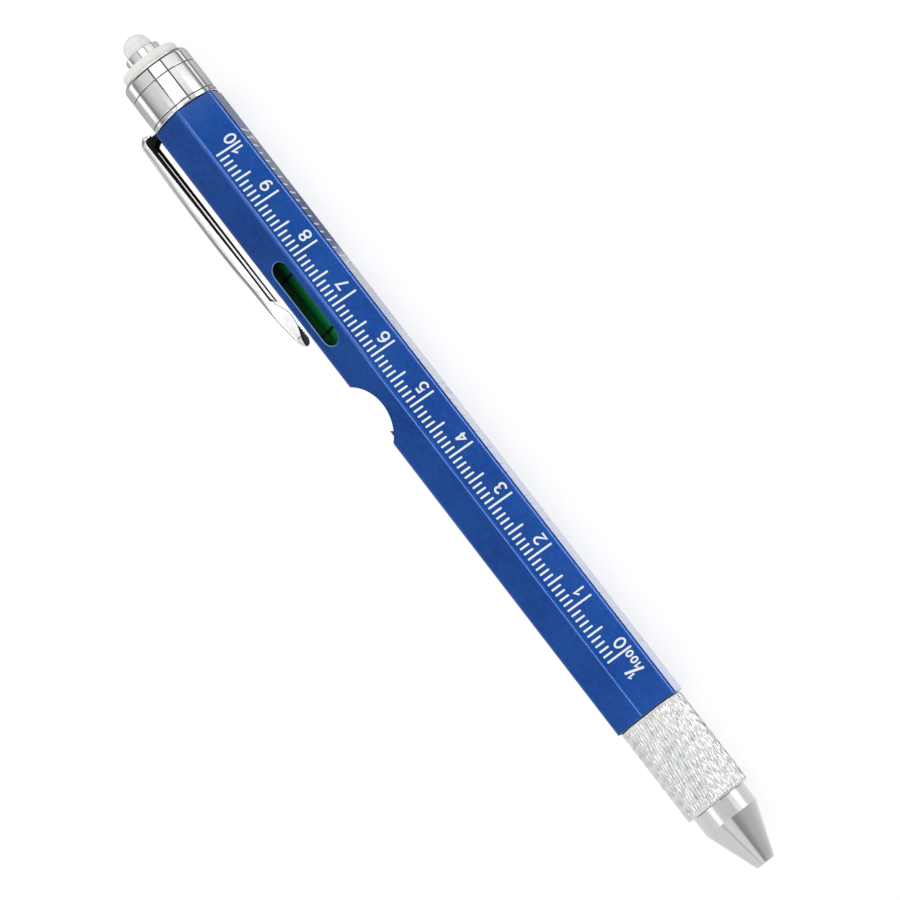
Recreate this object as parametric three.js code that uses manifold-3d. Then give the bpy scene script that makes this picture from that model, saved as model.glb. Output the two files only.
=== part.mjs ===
// Six-sided aluminium tool pen: a ball pen with a twist grip, a printed scale, a bottle opener
// notch, a spirit level under a window, a spring clip and a push-on lamp in its head.
// Millimetres. X runs from the writing tip to the lamp, with zero at the first line of the scale.
// Z points up through the level window. The pen lies on the flat opposite that window, at Z zero.

import * as THREE from "three";
import { mergeVertices } from "three/addons/utils/BufferGeometryUtils.js";
import Module from "manifold-3d";

// Clearances shared by all fits
const FACE_GAP = 0.12;
const SEAT_GAP = 0.25;
const CUT_OVERRUN = 2;

// Barrel
const ACROSS_FLATS = 11.4;
const CORNER_RADIUS = 0.9;
const SCALE_MARGIN = 9.7;
const BORE_RADIUS = 4.2;

// Level window and vial
const WINDOW_LENGTH = 16;
const WINDOW_WIDTH = 3.4;
const VIAL_LENGTH = 20;
const VIAL_WALL = 1.2;
const VIAL_PLUG_LENGTH = 1.8;
const VIAL_LINE_SPACING = 10.9;
const VIAL_LINE_WIDTH = 0.5;
const VIAL_LINE_DEPTH = 0.2;
const BUBBLE_RADIUS = 0.95;
const BUBBLE_LENGTH = 5;
const BUBBLE_TOP_GAP = 0.3;

// Bottle opener
const NOTCH_DEPTH = 2.9;
const NOTCH_RADIUS = 7;
const OPENER_BLOCK_LENGTH = 18.2;
const NOTCH_SETBACK = 8.32;
const TOOTH_WIDTH = 3.2;
const TOOTH_THICKNESS = 0.9;
const TOOTH_REACH = 2.4;
const TOOTH_ROOT_LENGTH = 2.6;
const TOOTH_SETBACK = 0.3;

// Clip
const CLIP_RING_THICKNESS = 0.8;
const CLIP_RING_RADIUS = 6.05;
const CLIP_LENGTH = 42.2;
const CLIP_HEIGHT = 3.82;
const CLIP_WIDTH = 3.9;
const CLIP_SHEET = 0.55;
const CLIP_LUG_THICKNESS = 0.85;
const CLIP_LUG_OVERHANG = 0.45;
const CLIP_LUG_ROOT = 0.5;
const CLIP_FLEX_GAP = 0.3;
const CLIP_BEND_RADIUS = 1.6;

// Places of the clip's outer line: share of its length from the lug to the tip, share of its height
const webShares = [
  [0.041, 0.9],
  [0.214, 0.971],
  [0.439, 1],
  [0.593, 0.974],
  [0.744, 0.89],
  [0.856, 0.8],
  [0.931, 0.67],
  [0.985, 0.555],
];
const tipShares = [1, 0.445];
// Places of its inner line, from the tip back along the foot to the free edge of the trough
const footShares = [
  [0.972, 0.345],
  [0.934, 0.2],
  [0.896, 0.139],
  [0.858, 0.212],
  [0.8, 0.435],
  [0.77, 0.51],
];
const FLANGE_EDGE_SHARE = 0.524;
const TROUGH_END_SHARE = 0.78;

// Lamp head
const HEAD_RADIUS = 6;
const HEAD_BODY_LENGTH = 5.1;
const HEAD_SPIGOT_LENGTH = 5.2;
const HEAD_SOCKET_DEPTH = 3;
const HEAD_FLOOR_LENGTH = 1.6;
const CAP_LENGTH = 2.7;
const CAP_SHOULDER = 0.9;
const CAP_WALL = 0.75;
const CAP_MOUTH_DEPTH = 1.9;
const CAP_TUBE_RADIUS = 4.6;
const CAP_TUBE_WALL = 0.7;
const BUTTON_RADIUS = 5.05;
const BUTTON_RISE = 1.65;
const BUTTON_THICKNESS = 2.2;
const BUTTON_EDGE = 0.3;
const BUTTON_STEM_RADIUS = 2.5;
const BUTTON_STEM_WALL = 0.9;
const BUTTON_TRAVEL = 1;
const LED_RADIUS = 2.5;
const LED_SEAT_DEPTH = 1.5;
const LED_RISE = 4.95;
const LED_LEAD_RADIUS = 0.45;
const COLLAR_HEIGHT = 1.8;
const COLLAR_WALL = 0.45;
const COLLAR_EDGE = 0.2;

// Battery stack
const CELL_COUNT = 3;
const CELL_RADIUS = 3.95;
const CELL_THICKNESS = 3.6;
const CELL_RIM = 0.5;
const CELL_STEP = 0.5;
const CONTACT_THICKNESS = 0.5;
const BATTERY_STOP_LENGTH = 6.84;
const BATTERY_SPRING_LENGTH = 3.4;
const BATTERY_SPRING_RADIUS = 2.6;
const BATTERY_SPRING_TURNS = 3;
const BATTERY_WIRE = 0.4;

// Lamp button spring
const BUTTON_SPRING_RADIUS = 3.2;
const BUTTON_SPRING_TURNS = 5;
const BUTTON_WIRE = 0.36;

// Writing end
const GRIP_LENGTH = 16.8;
const GRIP_RADIUS = 5.66;
const GRIP_WALL = 1.2;
const GRIP_EDGE = 0.25;
const GRIP_BARREL_GAP = 0.3;
const NOSE_RADIUS = 4.79;
const NOSE_STRAIGHT_LENGTH = 3.2;
const NOSE_CONE_LENGTH = 8.6;
const NOSE_TIP_RADIUS = 1.81;
const NOSE_TIP_ROUND = 0.5;
const NOSE_SPIGOT_LENGTH = 4.7;
const NOSE_MOUTH_RADIUS = 0.85;
const NOSE_MOUTH_LENGTH = 1;
const NOSE_TAPER_LENGTH = 1;

// Refill
const REFILL_LENGTH = 67;
const REFILL_RADIUS = 1.175;
const REFILL_SETBACK = 1.1;
const REFILL_TIP_LENGTH = 9;
const REFILL_NECK_LENGTH = 4;
const REFILL_NECK_RADIUS = 0.6;
const REFILL_TAPER_LENGTH = 2;
const REFILL_MOUTH_RADIUS = 0.38;
const REFILL_BORE_RADIUS = 0.8;
const REFILL_BALL_RADIUS = 0.3;
const REFILL_RUNNING_GAP = 0.4;

// Twist mechanism
const EXTEND_TRAVEL = 4.5;
const EXTEND_TURN = Math.PI;
const JOURNAL_LENGTH = 9;
const CAM_RADIUS = 3;
const CAM_INNER_RADIUS = 2.1;
const CAM_OVERHANG = 2.8;
const CAM_SEAT_LENGTH = 11;
const CARRIER_LENGTH = 9.5;
const CARRIER_RADIUS = 1.85;
const CARRIER_SOCKET_DEPTH = 5.5;
const CARRIER_SOCKET_GAP = 0.12;
const DRIVE_PIN_RADIUS = 0.55;
const DRIVE_PIN_SETBACK = 2;
const HOUSING_INNER_RADIUS = 3.25;
const HOUSING_END_WALL = 2.5;
const HOUSING_SPARE_LENGTH = 5.96;
const FRICTION_RING_WIDTH = 1.2;
const FRICTION_RING_DEPTH = 0.6;
const FRICTION_RING_SETBACK = 4;

// Smoothness of round pieces
const OUTER_SIDES = 36;
const INNER_SIDES = 24;
const SMALL_SIDES = 14;
const ROUND_STEPS = 4;
const CURL_STEPS = 8;
const WIRE_SIDES = 5;

// Finishes seen in the photograph
const bluePaint = { color: 0x1a4fa6, roughness: 0.3, metalness: 0.35 };
const chrome = { color: 0xe4e6e8, roughness: 0.06, metalness: 1 };
const satinAluminium = { color: 0xc6c8ca, roughness: 0.38, metalness: 1 };
const darkSteel = { color: 0x4a4c50, roughness: 0.4, metalness: 1 };
const steel = { color: 0xa9adb2, roughness: 0.3, metalness: 1 };
const brass = { color: 0xc9a24c, roughness: 0.3, metalness: 1 };
const clearAcrylic = { color: 0xe8f2ec, roughness: 0.05, metalness: 0, transparent: true, opacity: 0.35 };
const greenFluid = { color: 0x0c5a2c, roughness: 0.05, metalness: 0, transparent: true, opacity: 0.8 };
const air = { color: 0xdfeee4, roughness: 0.05, metalness: 0, transparent: true, opacity: 0.4 };
const blackPlastic = { color: 0x141516, roughness: 0.5, metalness: 0 };
const whitePlastic = { color: 0xe9e9e4, roughness: 0.5, metalness: 0 };
const milkyPlastic = { color: 0xe6e6da, roughness: 0.35, metalness: 0 };
const ledEpoxy = { color: 0xdedfe0, roughness: 0.15, metalness: 0, transparent: true, opacity: 0.7 };
const blackRubber = { color: 0x111111, roughness: 0.8, metalness: 0 };

const wasm = await Module();
wasm.setup();

// Places along the pen, worked out in order: first the writing end, back from the barrel's edge
const flatDistance = ACROSS_FLATS / 2;
const barrelStartX = -SCALE_MARGIN;
const gripEndX = barrelStartX - GRIP_BARREL_GAP;
const gripStartX = gripEndX - GRIP_LENGTH;
const noseShoulderX = gripStartX - FACE_GAP;
const noseConeX = noseShoulderX - NOSE_STRAIGHT_LENGTH;
const noseTipX = noseConeX - NOSE_CONE_LENGTH;
const refillPointX = noseTipX + REFILL_SETBACK;
const refillEndX = refillPointX + REFILL_LENGTH;

// Then the twist mechanism round the refill's end
const journalEndX = barrelStartX + JOURNAL_LENGTH;
const housingStartX = journalEndX + FACE_GAP;
const carrierStartX = refillEndX - CARRIER_SOCKET_DEPTH + FACE_GAP;
const carrierEndX = carrierStartX + CARRIER_LENGTH;
const drivePinX = carrierEndX - DRIVE_PIN_SETBACK;
const camStartX = journalEndX - CAM_SEAT_LENGTH;
const camEndX = carrierEndX + CAM_OVERHANG;
const housingWallX = camEndX + HOUSING_SPARE_LENGTH;
const housingEndX = housingWallX + HOUSING_END_WALL;

// Then what fills the bore behind it: opener block, vial, battery stop, contact, spring and cells
const blockStartX = housingEndX + FACE_GAP;
const blockEndX = blockStartX + OPENER_BLOCK_LENGTH;
const notchCentreX = blockStartX + NOTCH_SETBACK;
const vialStartX = blockEndX + FACE_GAP;
const vialEndX = vialStartX + VIAL_LENGTH;
const windowCentreX = vialStartX + VIAL_LENGTH / 2;
const stopStartX = vialEndX + FACE_GAP;
const stopEndX = stopStartX + BATTERY_STOP_LENGTH;
const contactStartX = stopEndX + FACE_GAP;
const contactEndX = contactStartX + CONTACT_THICKNESS;
const cellsStartX = contactEndX + BATTERY_SPRING_LENGTH;
const cellPitch = CELL_THICKNESS + FACE_GAP;
const cellsEndX = cellsStartX + CELL_COUNT * cellPitch - FACE_GAP;

// Last the lamp head, whose spigot ends the bore, with the clip's ring between it and the barrel
const spigotStartX = cellsEndX + FACE_GAP;
const headStartX = spigotStartX + HEAD_SPIGOT_LENGTH;
const clipRingEndX = headStartX - FACE_GAP;
const clipRingStartX = clipRingEndX - CLIP_RING_THICKNESS;
const barrelEndX = clipRingStartX - FACE_GAP;
const headEndX = headStartX + HEAD_BODY_LENGTH;
const headSocketX = headEndX - HEAD_SOCKET_DEPTH;
const capStartX = headEndX + FACE_GAP;
const capEndX = capStartX + CAP_LENGTH;
const buttonTopX = capEndX + BUTTON_RISE;
const buttonUndersideX = buttonTopX - BUTTON_THICKNESS;
const ledSeatX = buttonTopX - LED_SEAT_DEPTH;

// Radii that follow from a neighbour
const seatRadius = BORE_RADIUS - SEAT_GAP;
const vialInnerRadius = seatRadius - VIAL_WALL;
const fluidRadius = vialInnerRadius - BUBBLE_TOP_GAP / 2;
const gripBoreRadius = GRIP_RADIUS - GRIP_WALL;
const gripFitRadius = gripBoreRadius - SEAT_GAP;
const refillPassRadius = REFILL_RADIUS + REFILL_RUNNING_GAP;
const capBoreRadius = CAP_TUBE_RADIUS - CAP_TUBE_WALL;
const headSocketRadius = CAP_TUBE_RADIUS + SEAT_GAP;
const stemPassRadius = BUTTON_STEM_RADIUS + SEAT_GAP;
const capMouthRadius = HEAD_RADIUS - CAP_WALL;
const ledPassRadius = LED_RADIUS + SEAT_GAP / 2;

// The clip and the notch share one face of the barrel, the upper one on the far side
const clipFaceAngle = -Math.PI / 3;

// Closed geometry with shared corners and no collapsed triangles, its faces turned outward
function tidied(geometry) {
  const bare = geometry.clone();
  for (const name of Object.keys(bare.attributes)) {
    if (name !== "position") bare.deleteAttribute(name);
  }
  const merged = mergeVertices(bare);
  const index = merged.index.array;
  const position = merged.getAttribute("position");
  const corners = [new THREE.Vector3(), new THREE.Vector3(), new THREE.Vector3()];
  const kept = [];
  let volume = 0;
  for (let i = 0; i < index.length; i += 3) {
    const [a, b, c] = [index[i], index[i + 1], index[i + 2]];
    if (a === b || b === c || c === a) continue;
    kept.push(a, b, c);
    corners[0].fromBufferAttribute(position, a);
    corners[1].fromBufferAttribute(position, b);
    corners[2].fromBufferAttribute(position, c);
    volume += corners[0].dot(corners[1].cross(corners[2]));
  }
  if (volume < 0) kept.reverse();
  merged.setIndex(kept);
  return merged;
}

function solidOf(geometry) {
  const closed = tidied(geometry);
  const mesh = new wasm.Mesh({
    numProp: 3,
    vertProperties: new Float32Array(closed.getAttribute("position").array),
    triVerts: new Uint32Array(closed.index.array),
  });
  return new wasm.Manifold(mesh);
}

function geometryOf(solid) {
  const mesh = solid.getMesh();
  const geometry = new THREE.BufferGeometry();
  geometry.setAttribute("position", new THREE.BufferAttribute(mesh.vertProperties, 3));
  geometry.setIndex(new THREE.BufferAttribute(mesh.triVerts, 1));
  return geometry;
}

function cutFrom(geometry, ...tools) {
  const left = tools.reduce((solid, tool) => solid.subtract(solidOf(tool)), solidOf(geometry));
  return geometryOf(left);
}

function joined(geometry, ...others) {
  const whole = others.reduce((solid, other) => solid.add(solidOf(other)), solidOf(geometry));
  return geometryOf(whole);
}

function commonTo(geometry, other) {
  return geometryOf(solidOf(geometry).intersect(solidOf(other)));
}

// A piece turned about the pen's axis from a profile of [x, radius] pairs
function turned(profile, sides) {
  const points = profile.map(([x, radius]) => new THREE.Vector2(radius, x));
  const lathe = new THREE.LatheGeometry(points, sides);
  lathe.rotateZ(-Math.PI / 2);
  return tidied(lathe);
}

function tube(startX, endX, outerRadius, innerRadius, sides) {
  const profile = [
    [startX, innerRadius],
    [startX, outerRadius],
    [endX, outerRadius],
    [endX, innerRadius],
    [startX, innerRadius],
  ];
  return turned(profile, sides);
}

function rod(startX, endX, radius, sides) {
  const profile = [
    [startX, 0],
    [startX, radius],
    [endX, radius],
    [endX, 0],
  ];
  return turned(profile, sides);
}

// Points of a round or oval corner, from one angle to another about a centre
function cornerPoints([centreX, centreY], [reachX, reachY], fromAngle, toAngle, steps) {
  return Array.from({ length: steps + 1 }, (_, step) => {
    const angle = THREE.MathUtils.lerp(fromAngle, toAngle, step / steps);
    return [centreX + reachX * Math.cos(angle), centreY + reachY * Math.sin(angle)];
  });
}

// A flat outline of [x, height] pairs given a width along Y, centred on the pen's axis
function acrossWidth(outline, width) {
  const shape = new THREE.Shape(outline.map(([x, height]) => new THREE.Vector2(x, height)));
  const geometry = new THREE.ExtrudeGeometry(shape, { depth: width, bevelEnabled: false });
  geometry.translate(0, 0, -width / 2);
  geometry.rotateX(Math.PI / 2);
  return geometry;
}

// A flat outline in X and Y given a height along Z
function upright(shape, bottom, top) {
  const options = { depth: top - bottom, bevelEnabled: false, curveSegments: ROUND_STEPS * 2 };
  const geometry = new THREE.ExtrudeGeometry(shape, options);
  geometry.translate(0, 0, bottom);
  return geometry;
}

// A closed skin over rings of points, with a flat end at the first ring and at the last
function skinned(rings) {
  const count = rings[0].length;
  const points = rings.flat();
  const index = [];
  for (let ring = 0; ring < rings.length - 1; ring += 1) {
    for (let side = 0; side < count; side += 1) {
      const here = ring * count + side;
      const next = ring * count + ((side + 1) % count);
      index.push(here, next, here + count, next, next + count, here + count);
    }
  }
  const last = (rings.length - 1) * count;
  for (let side = 1; side < count - 1; side += 1) {
    index.push(0, side + 1, side);
    index.push(last, last + side, last + side + 1);
  }
  const geometry = new THREE.BufferGeometry().setFromPoints(points);
  geometry.setIndex(index);
  return tidied(geometry);
}

// A coil spring about the pen's axis, one unbroken wire of even turns
function spring(name, startX, endX, radius, wire, turns) {
  const steps = turns * CURL_STEPS;
  const run = endX - startX - wire;
  const centreAt = (step) => {
    const angle = (2 * Math.PI * step) / CURL_STEPS;
    const x = startX + wire / 2 + (run * step) / steps;
    return new THREE.Vector3(x, radius * Math.cos(angle), radius * Math.sin(angle));
  };
  const rings = Array.from({ length: steps + 1 }, (_, step) => {
    const centre = centreAt(step);
    const outward = new THREE.Vector3(0, centre.y, centre.z).normalize();
    const alongX = new THREE.Vector3(1, 0, 0);
    return Array.from({ length: WIRE_SIDES }, (_, side) => {
      const angle = (2 * Math.PI * side) / WIRE_SIDES;
      const point = centre.clone();
      point.addScaledVector(outward, (wire / 2) * Math.cos(angle));
      return point.addScaledVector(alongX, (wire / 2) * Math.sin(angle));
    });
  });
  const centres = rings.map((_, step) => centreAt(step));
  let least = Infinity;
  for (let step = 0; step + CURL_STEPS <= steps; step += 1) {
    for (let other = step + CURL_STEPS - 1; other <= steps; other += 1) {
      least = Math.min(least, centres[step].distanceTo(centres[other]) - wire);
    }
  }
  console.log(`${name}: least gap between turns ${least.toFixed(2)} mm`);
  return skinned(rings);
}

// Hexagon with rounded corners, looking along the pen
function hexagonOutline() {
  const points = [];
  const reach = [CORNER_RADIUS, CORNER_RADIUS];
  const cornerCentre = (flatDistance - CORNER_RADIUS) / Math.cos(Math.PI / 6);
  for (let corner = 0; corner < 6; corner += 1) {
    const angle = Math.PI / 6 + (corner * Math.PI) / 3;
    const centre = [cornerCentre * Math.cos(angle), cornerCentre * Math.sin(angle)];
    const low = angle - Math.PI / 6;
    const high = angle + Math.PI / 6;
    points.push(...cornerPoints(centre, reach, low, high, ROUND_STEPS + 2));
  }
  return new THREE.Shape(points.map(([x, y]) => new THREE.Vector2(x, y)));
}

function notchCutter() {
  const cutter = new THREE.CylinderGeometry(
    NOTCH_RADIUS,
    NOTCH_RADIUS,
    ACROSS_FLATS + 2 * CUT_OVERRUN,
    OUTER_SIDES,
  );
  cutter.translate(notchCentreX, 0, flatDistance - NOTCH_DEPTH + NOTCH_RADIUS);
  cutter.rotateX(clipFaceAngle);
  return cutter;
}

// Flat steel tooth, in the frame of its face, with its root set in a slot of the opener block
function toothOutline(gap) {
  const top = flatDistance - TOOTH_SETBACK + gap;
  const bottom = top - TOOTH_THICKNESS - 2 * gap;
  const halfChord = Math.sqrt(NOTCH_DEPTH * (2 * NOTCH_RADIUS - NOTCH_DEPTH));
  const rootX = notchCentreX - halfChord - TOOTH_ROOT_LENGTH;
  const pointX = notchCentreX - halfChord + TOOTH_REACH;
  const bevelX = pointX - TOOTH_THICKNESS;
  return [
    [rootX - gap, bottom],
    [bevelX + gap, bottom],
    [pointX + gap, top - gap],
    [pointX + gap, top],
    [rootX - gap, top],
  ];
}

function toothBody(gap) {
  const geometry = acrossWidth(toothOutline(gap), TOOTH_WIDTH + 2 * gap);
  geometry.rotateX(clipFaceAngle);
  return geometry;
}

function barrel() {
  const outline = hexagonOutline();
  const bore = new THREE.Path().absarc(0, 0, BORE_RADIUS, 0, 2 * Math.PI, true);
  outline.holes.push(bore);
  const length = barrelEndX - barrelStartX;
  const options = { depth: length, bevelEnabled: false, curveSegments: OUTER_SIDES / 2 };
  const body = new THREE.ExtrudeGeometry(outline, options);
  body.rotateY(Math.PI / 2);
  body.translate(barrelStartX, 0, 0);
  const half = (WINDOW_LENGTH - WINDOW_WIDTH) / 2;
  const slot = new THREE.Shape();
  slot.absarc(half, 0, WINDOW_WIDTH / 2, -Math.PI / 2, Math.PI / 2, false);
  slot.absarc(-half, 0, WINDOW_WIDTH / 2, Math.PI / 2, (3 * Math.PI) / 2, false);
  const window = upright(slot, 0, flatDistance + CUT_OVERRUN);
  window.translate(windowCentreX, 0, 0);
  return cutFrom(body, window, notchCutter(), toothBody(SEAT_GAP));
}

function openerBlock() {
  const block = rod(blockStartX, blockEndX, seatRadius, INNER_SIDES);
  return cutFrom(block, notchCutter(), toothBody(SEAT_GAP));
}

function vialTube() {
  const lines = [-1, 1].map((side) => windowCentreX + (side * VIAL_LINE_SPACING) / 2);
  const grooveHalf = (VIAL_LINE_WIDTH + FACE_GAP) / 2;
  const grooveRadius = seatRadius - VIAL_LINE_DEPTH - FACE_GAP / 2;
  const profile = [[vialStartX, vialInnerRadius]];
  profile.push([vialStartX, seatRadius]);
  for (const x of lines) {
    profile.push([x - grooveHalf, seatRadius], [x - grooveHalf, grooveRadius]);
    profile.push([x + grooveHalf, grooveRadius], [x + grooveHalf, seatRadius]);
  }
  profile.push([vialEndX, seatRadius], [vialEndX, vialInnerRadius], [vialStartX, vialInnerRadius]);
  return turned(profile, OUTER_SIDES);
}

function vialLine(side) {
  const x = windowCentreX + (side * VIAL_LINE_SPACING) / 2;
  const half = VIAL_LINE_WIDTH / 2;
  return tube(x - half, x + half, seatRadius, seatRadius - VIAL_LINE_DEPTH, OUTER_SIDES);
}

function vialPlug(side) {
  const outerX = side < 0 ? vialStartX : vialEndX - VIAL_PLUG_LENGTH;
  return rod(outerX, outerX + VIAL_PLUG_LENGTH, vialInnerRadius - FACE_GAP, INNER_SIDES);
}

const bubbleHeight = vialInnerRadius - BUBBLE_TOP_GAP - BUBBLE_RADIUS;
const fluidStartX = vialStartX + VIAL_PLUG_LENGTH + FACE_GAP;
const fluidEndX = vialEndX - VIAL_PLUG_LENGTH - FACE_GAP;

function vialFluid() {
  const body = rod(fluidStartX, fluidEndX, fluidRadius, INNER_SIDES);
  const startX = fluidStartX - CUT_OVERRUN;
  const endX = fluidEndX + CUT_OVERRUN;
  const channel = rod(startX, endX, BUBBLE_RADIUS + SEAT_GAP, INNER_SIDES);
  channel.translate(0, 0, bubbleHeight);
  return cutFrom(body, channel);
}

// The bubble rests at the lamp end of the vial, as photographed
function vialBubble() {
  const endX = fluidEndX - FACE_GAP;
  const lowX = endX - BUBBLE_LENGTH + BUBBLE_RADIUS;
  const round = [BUBBLE_RADIUS, BUBBLE_RADIUS];
  const low = cornerPoints([lowX, 0], round, Math.PI, Math.PI / 2, ROUND_STEPS);
  const high = cornerPoints([endX - BUBBLE_RADIUS, 0], round, Math.PI / 2, 0, ROUND_STEPS);
  const profile = [...low, ...high];
  profile[0][1] = 0;
  profile[profile.length - 1][1] = 0;
  const bubble = turned(profile, SMALL_SIDES);
  bubble.translate(0, 0, bubbleHeight);
  return bubble;
}

function clipRing() {
  const ring = tube(clipRingStartX, clipRingEndX, CLIP_RING_RADIUS, BORE_RADIUS, OUTER_SIDES);
  const rootTop = CLIP_RING_RADIUS + CLIP_LUG_ROOT;
  const root = new THREE.BoxGeometry(CLIP_RING_THICKNESS, CLIP_WIDTH, rootTop - BORE_RADIUS - SEAT_GAP);
  root.translate(
    clipRingStartX + CLIP_RING_THICKNESS / 2,
    0,
    (rootTop + BORE_RADIUS + SEAT_GAP) / 2,
  );
  root.rotateX(clipFaceAngle);
  return joined(ring, root);
}

// The clip's side line, in shares of its length and height, turned into places on the pen
const clipBackX = clipRingEndX + CLIP_LUG_OVERHANG;
const clipPlace = ([along, up]) => [clipBackX - along * CLIP_LENGTH, flatDistance + up * CLIP_HEIGHT];

function clipSideLine() {
  const lugFootRadius = CLIP_RING_RADIUS + CLIP_LUG_ROOT + CLIP_FLEX_GAP;
  const web = webShares.map(clipPlace);
  const bendTop = web[0];
  const bendCentre = [clipBackX - CLIP_BEND_RADIUS, bendTop[1] - CLIP_BEND_RADIUS];
  const bendReach = [CLIP_BEND_RADIUS, CLIP_BEND_RADIUS];
  const bend = cornerPoints(bendCentre, bendReach, 0, Math.PI / 2, ROUND_STEPS);
  const edge = flatDistance + FLANGE_EDGE_SHARE * CLIP_HEIGHT;
  const lugInnerX = clipBackX - CLIP_LUG_THICKNESS;
  return [
    [clipRingEndX, lugFootRadius],
    ...bend,
    ...web.slice(1),
    clipPlace(tipShares),
    ...footShares.map(clipPlace),
    [lugInnerX - CLIP_BEND_RADIUS, edge],
    [lugInnerX, edge],
    [clipRingEndX - CLIP_LUG_THICKNESS, lugFootRadius],
  ];
}

// The hollow of the trough, open toward the barrel, one sheet thickness inside the web
function clipTrough() {
  const lugInnerX = clipBackX - CLIP_LUG_THICKNESS;
  const troughEndX = clipBackX - TROUGH_END_SHARE * CLIP_LENGTH;
  const roof = webShares
    .map(clipPlace)
    .filter(([x]) => x > troughEndX && x < lugInnerX - CLIP_BEND_RADIUS)
    .map(([x, height]) => [x, height - CLIP_SHEET]);
  const first = clipPlace(webShares[0]);
  const outline = [
    [lugInnerX, flatDistance],
    [lugInnerX, first[1] - CLIP_BEND_RADIUS],
    [lugInnerX - CLIP_BEND_RADIUS, first[1] - CLIP_SHEET],
    ...roof,
    [troughEndX, roof[roof.length - 1][1] - CLIP_SHEET],
    [troughEndX - CLIP_SHEET, flatDistance],
  ];
  return acrossWidth(outline, CLIP_WIDTH - 2 * CLIP_SHEET);
}

function clipArm() {
  const side = acrossWidth(clipSideLine(), CLIP_WIDTH);
  const plan = new THREE.Shape();
  const half = CLIP_WIDTH / 2;
  const tipX = clipBackX - CLIP_LENGTH;
  plan.moveTo(clipBackX + CUT_OVERRUN, half);
  plan.lineTo(tipX + CLIP_WIDTH, half);
  plan.absellipse(tipX + CLIP_WIDTH, 0, CLIP_WIDTH, half, Math.PI / 2, (3 * Math.PI) / 2, false);
  plan.lineTo(clipBackX + CUT_OVERRUN, -half);
  const planBody = upright(plan, flatDistance - CUT_OVERRUN, flatDistance + CLIP_HEIGHT + CUT_OVERRUN);
  const arm = cutFrom(commonTo(side, planBody), clipTrough());
  arm.rotateX(clipFaceAngle);
  return arm;
}

function headBody() {
  const profile = [
    [spigotStartX, stemPassRadius],
    [spigotStartX, seatRadius],
    [headStartX, seatRadius],
    [headStartX, HEAD_RADIUS],
    [headEndX, HEAD_RADIUS],
    [headEndX, headSocketRadius],
    [headSocketX, headSocketRadius],
    [headSocketX, stemPassRadius],
    [spigotStartX, stemPassRadius],
  ];
  return turned(profile, OUTER_SIDES);
}

function headCap() {
  const tubeStartX = headSocketX + FACE_GAP;
  const mouthX = capEndX - CAP_MOUTH_DEPTH;
  const shoulderCentre = [capEndX - CAP_SHOULDER, HEAD_RADIUS - CAP_SHOULDER / 2];
  const shoulderReach = [CAP_SHOULDER, CAP_SHOULDER / 2];
  const shoulder = cornerPoints(shoulderCentre, shoulderReach, Math.PI / 2, 0, ROUND_STEPS);
  const profile = [
    [tubeStartX, capBoreRadius],
    [tubeStartX, CAP_TUBE_RADIUS],
    [capStartX, CAP_TUBE_RADIUS],
    [capStartX, HEAD_RADIUS],
    ...shoulder,
    [capEndX, capMouthRadius],
    [mouthX, capMouthRadius],
    [mouthX, capBoreRadius],
    [tubeStartX, capBoreRadius],
  ];
  return turned(profile, OUTER_SIDES);
}

function lightButton() {
  const stemStartX = spigotStartX + HEAD_FLOOR_LENGTH;
  const stemBore = BUTTON_STEM_RADIUS - BUTTON_STEM_WALL;
  const profile = [
    [stemStartX, stemBore],
    [stemStartX, BUTTON_STEM_RADIUS],
    [buttonUndersideX, BUTTON_STEM_RADIUS],
    [buttonUndersideX, BUTTON_RADIUS],
    [buttonTopX - BUTTON_EDGE, BUTTON_RADIUS],
    [buttonTopX, BUTTON_RADIUS - BUTTON_EDGE],
    [buttonTopX, ledPassRadius],
    [ledSeatX, ledPassRadius],
    [ledSeatX, stemBore],
    [stemStartX, stemBore],
  ];
  return turned(profile, OUTER_SIDES);
}

function ledCollar() {
  const startX = buttonTopX + FACE_GAP;
  const endX = buttonTopX + COLLAR_HEIGHT;
  const outer = ledPassRadius + COLLAR_WALL;
  const profile = [
    [startX, ledPassRadius],
    [startX, outer],
    [endX - COLLAR_EDGE, outer],
    [endX, outer - COLLAR_EDGE],
    [endX, ledPassRadius],
    [startX, ledPassRadius],
  ];
  return turned(profile, OUTER_SIDES);
}

function led() {
  const topX = buttonTopX + LED_RISE;
  const domeReach = [LED_RADIUS, LED_RADIUS];
  const dome = cornerPoints([topX - LED_RADIUS, 0], domeReach, Math.PI / 2, 0, ROUND_STEPS * 2);
  dome[dome.length - 1][1] = 0;
  const startX = ledSeatX + FACE_GAP;
  return turned([[startX, 0], [startX, LED_RADIUS], ...dome], INNER_SIDES);
}

function ledLead() {
  const startX = cellsEndX + BUTTON_TRAVEL + SEAT_GAP;
  return rod(startX, ledSeatX, LED_LEAD_RADIUS, SMALL_SIDES);
}

// Button cell: a wide can and, toward the lamp, a slightly narrower lid
function cell(number) {
  const startX = cellsStartX + number * cellPitch;
  const lidX = startX + CELL_THICKNESS - CELL_STEP;
  const profile = [
    [startX, 0],
    [startX, CELL_RADIUS],
    [lidX, CELL_RADIUS],
    [lidX, CELL_RADIUS - CELL_RIM],
    [startX + CELL_THICKNESS, CELL_RADIUS - CELL_RIM],
    [startX + CELL_THICKNESS, 0],
  ];
  return turned(profile, INNER_SIDES);
}

function gripSleeve() {
  const profile = [
    [gripStartX, gripBoreRadius],
    [gripStartX, GRIP_RADIUS - GRIP_EDGE],
    [gripStartX + GRIP_EDGE, GRIP_RADIUS],
    [gripEndX - GRIP_EDGE, GRIP_RADIUS],
    [gripEndX, GRIP_RADIUS - GRIP_EDGE],
    [gripEndX, gripBoreRadius],
    [gripStartX, gripBoreRadius],
  ];
  return turned(profile, OUTER_SIDES);
}

const frictionRingX = gripEndX + FRICTION_RING_SETBACK;

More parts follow.
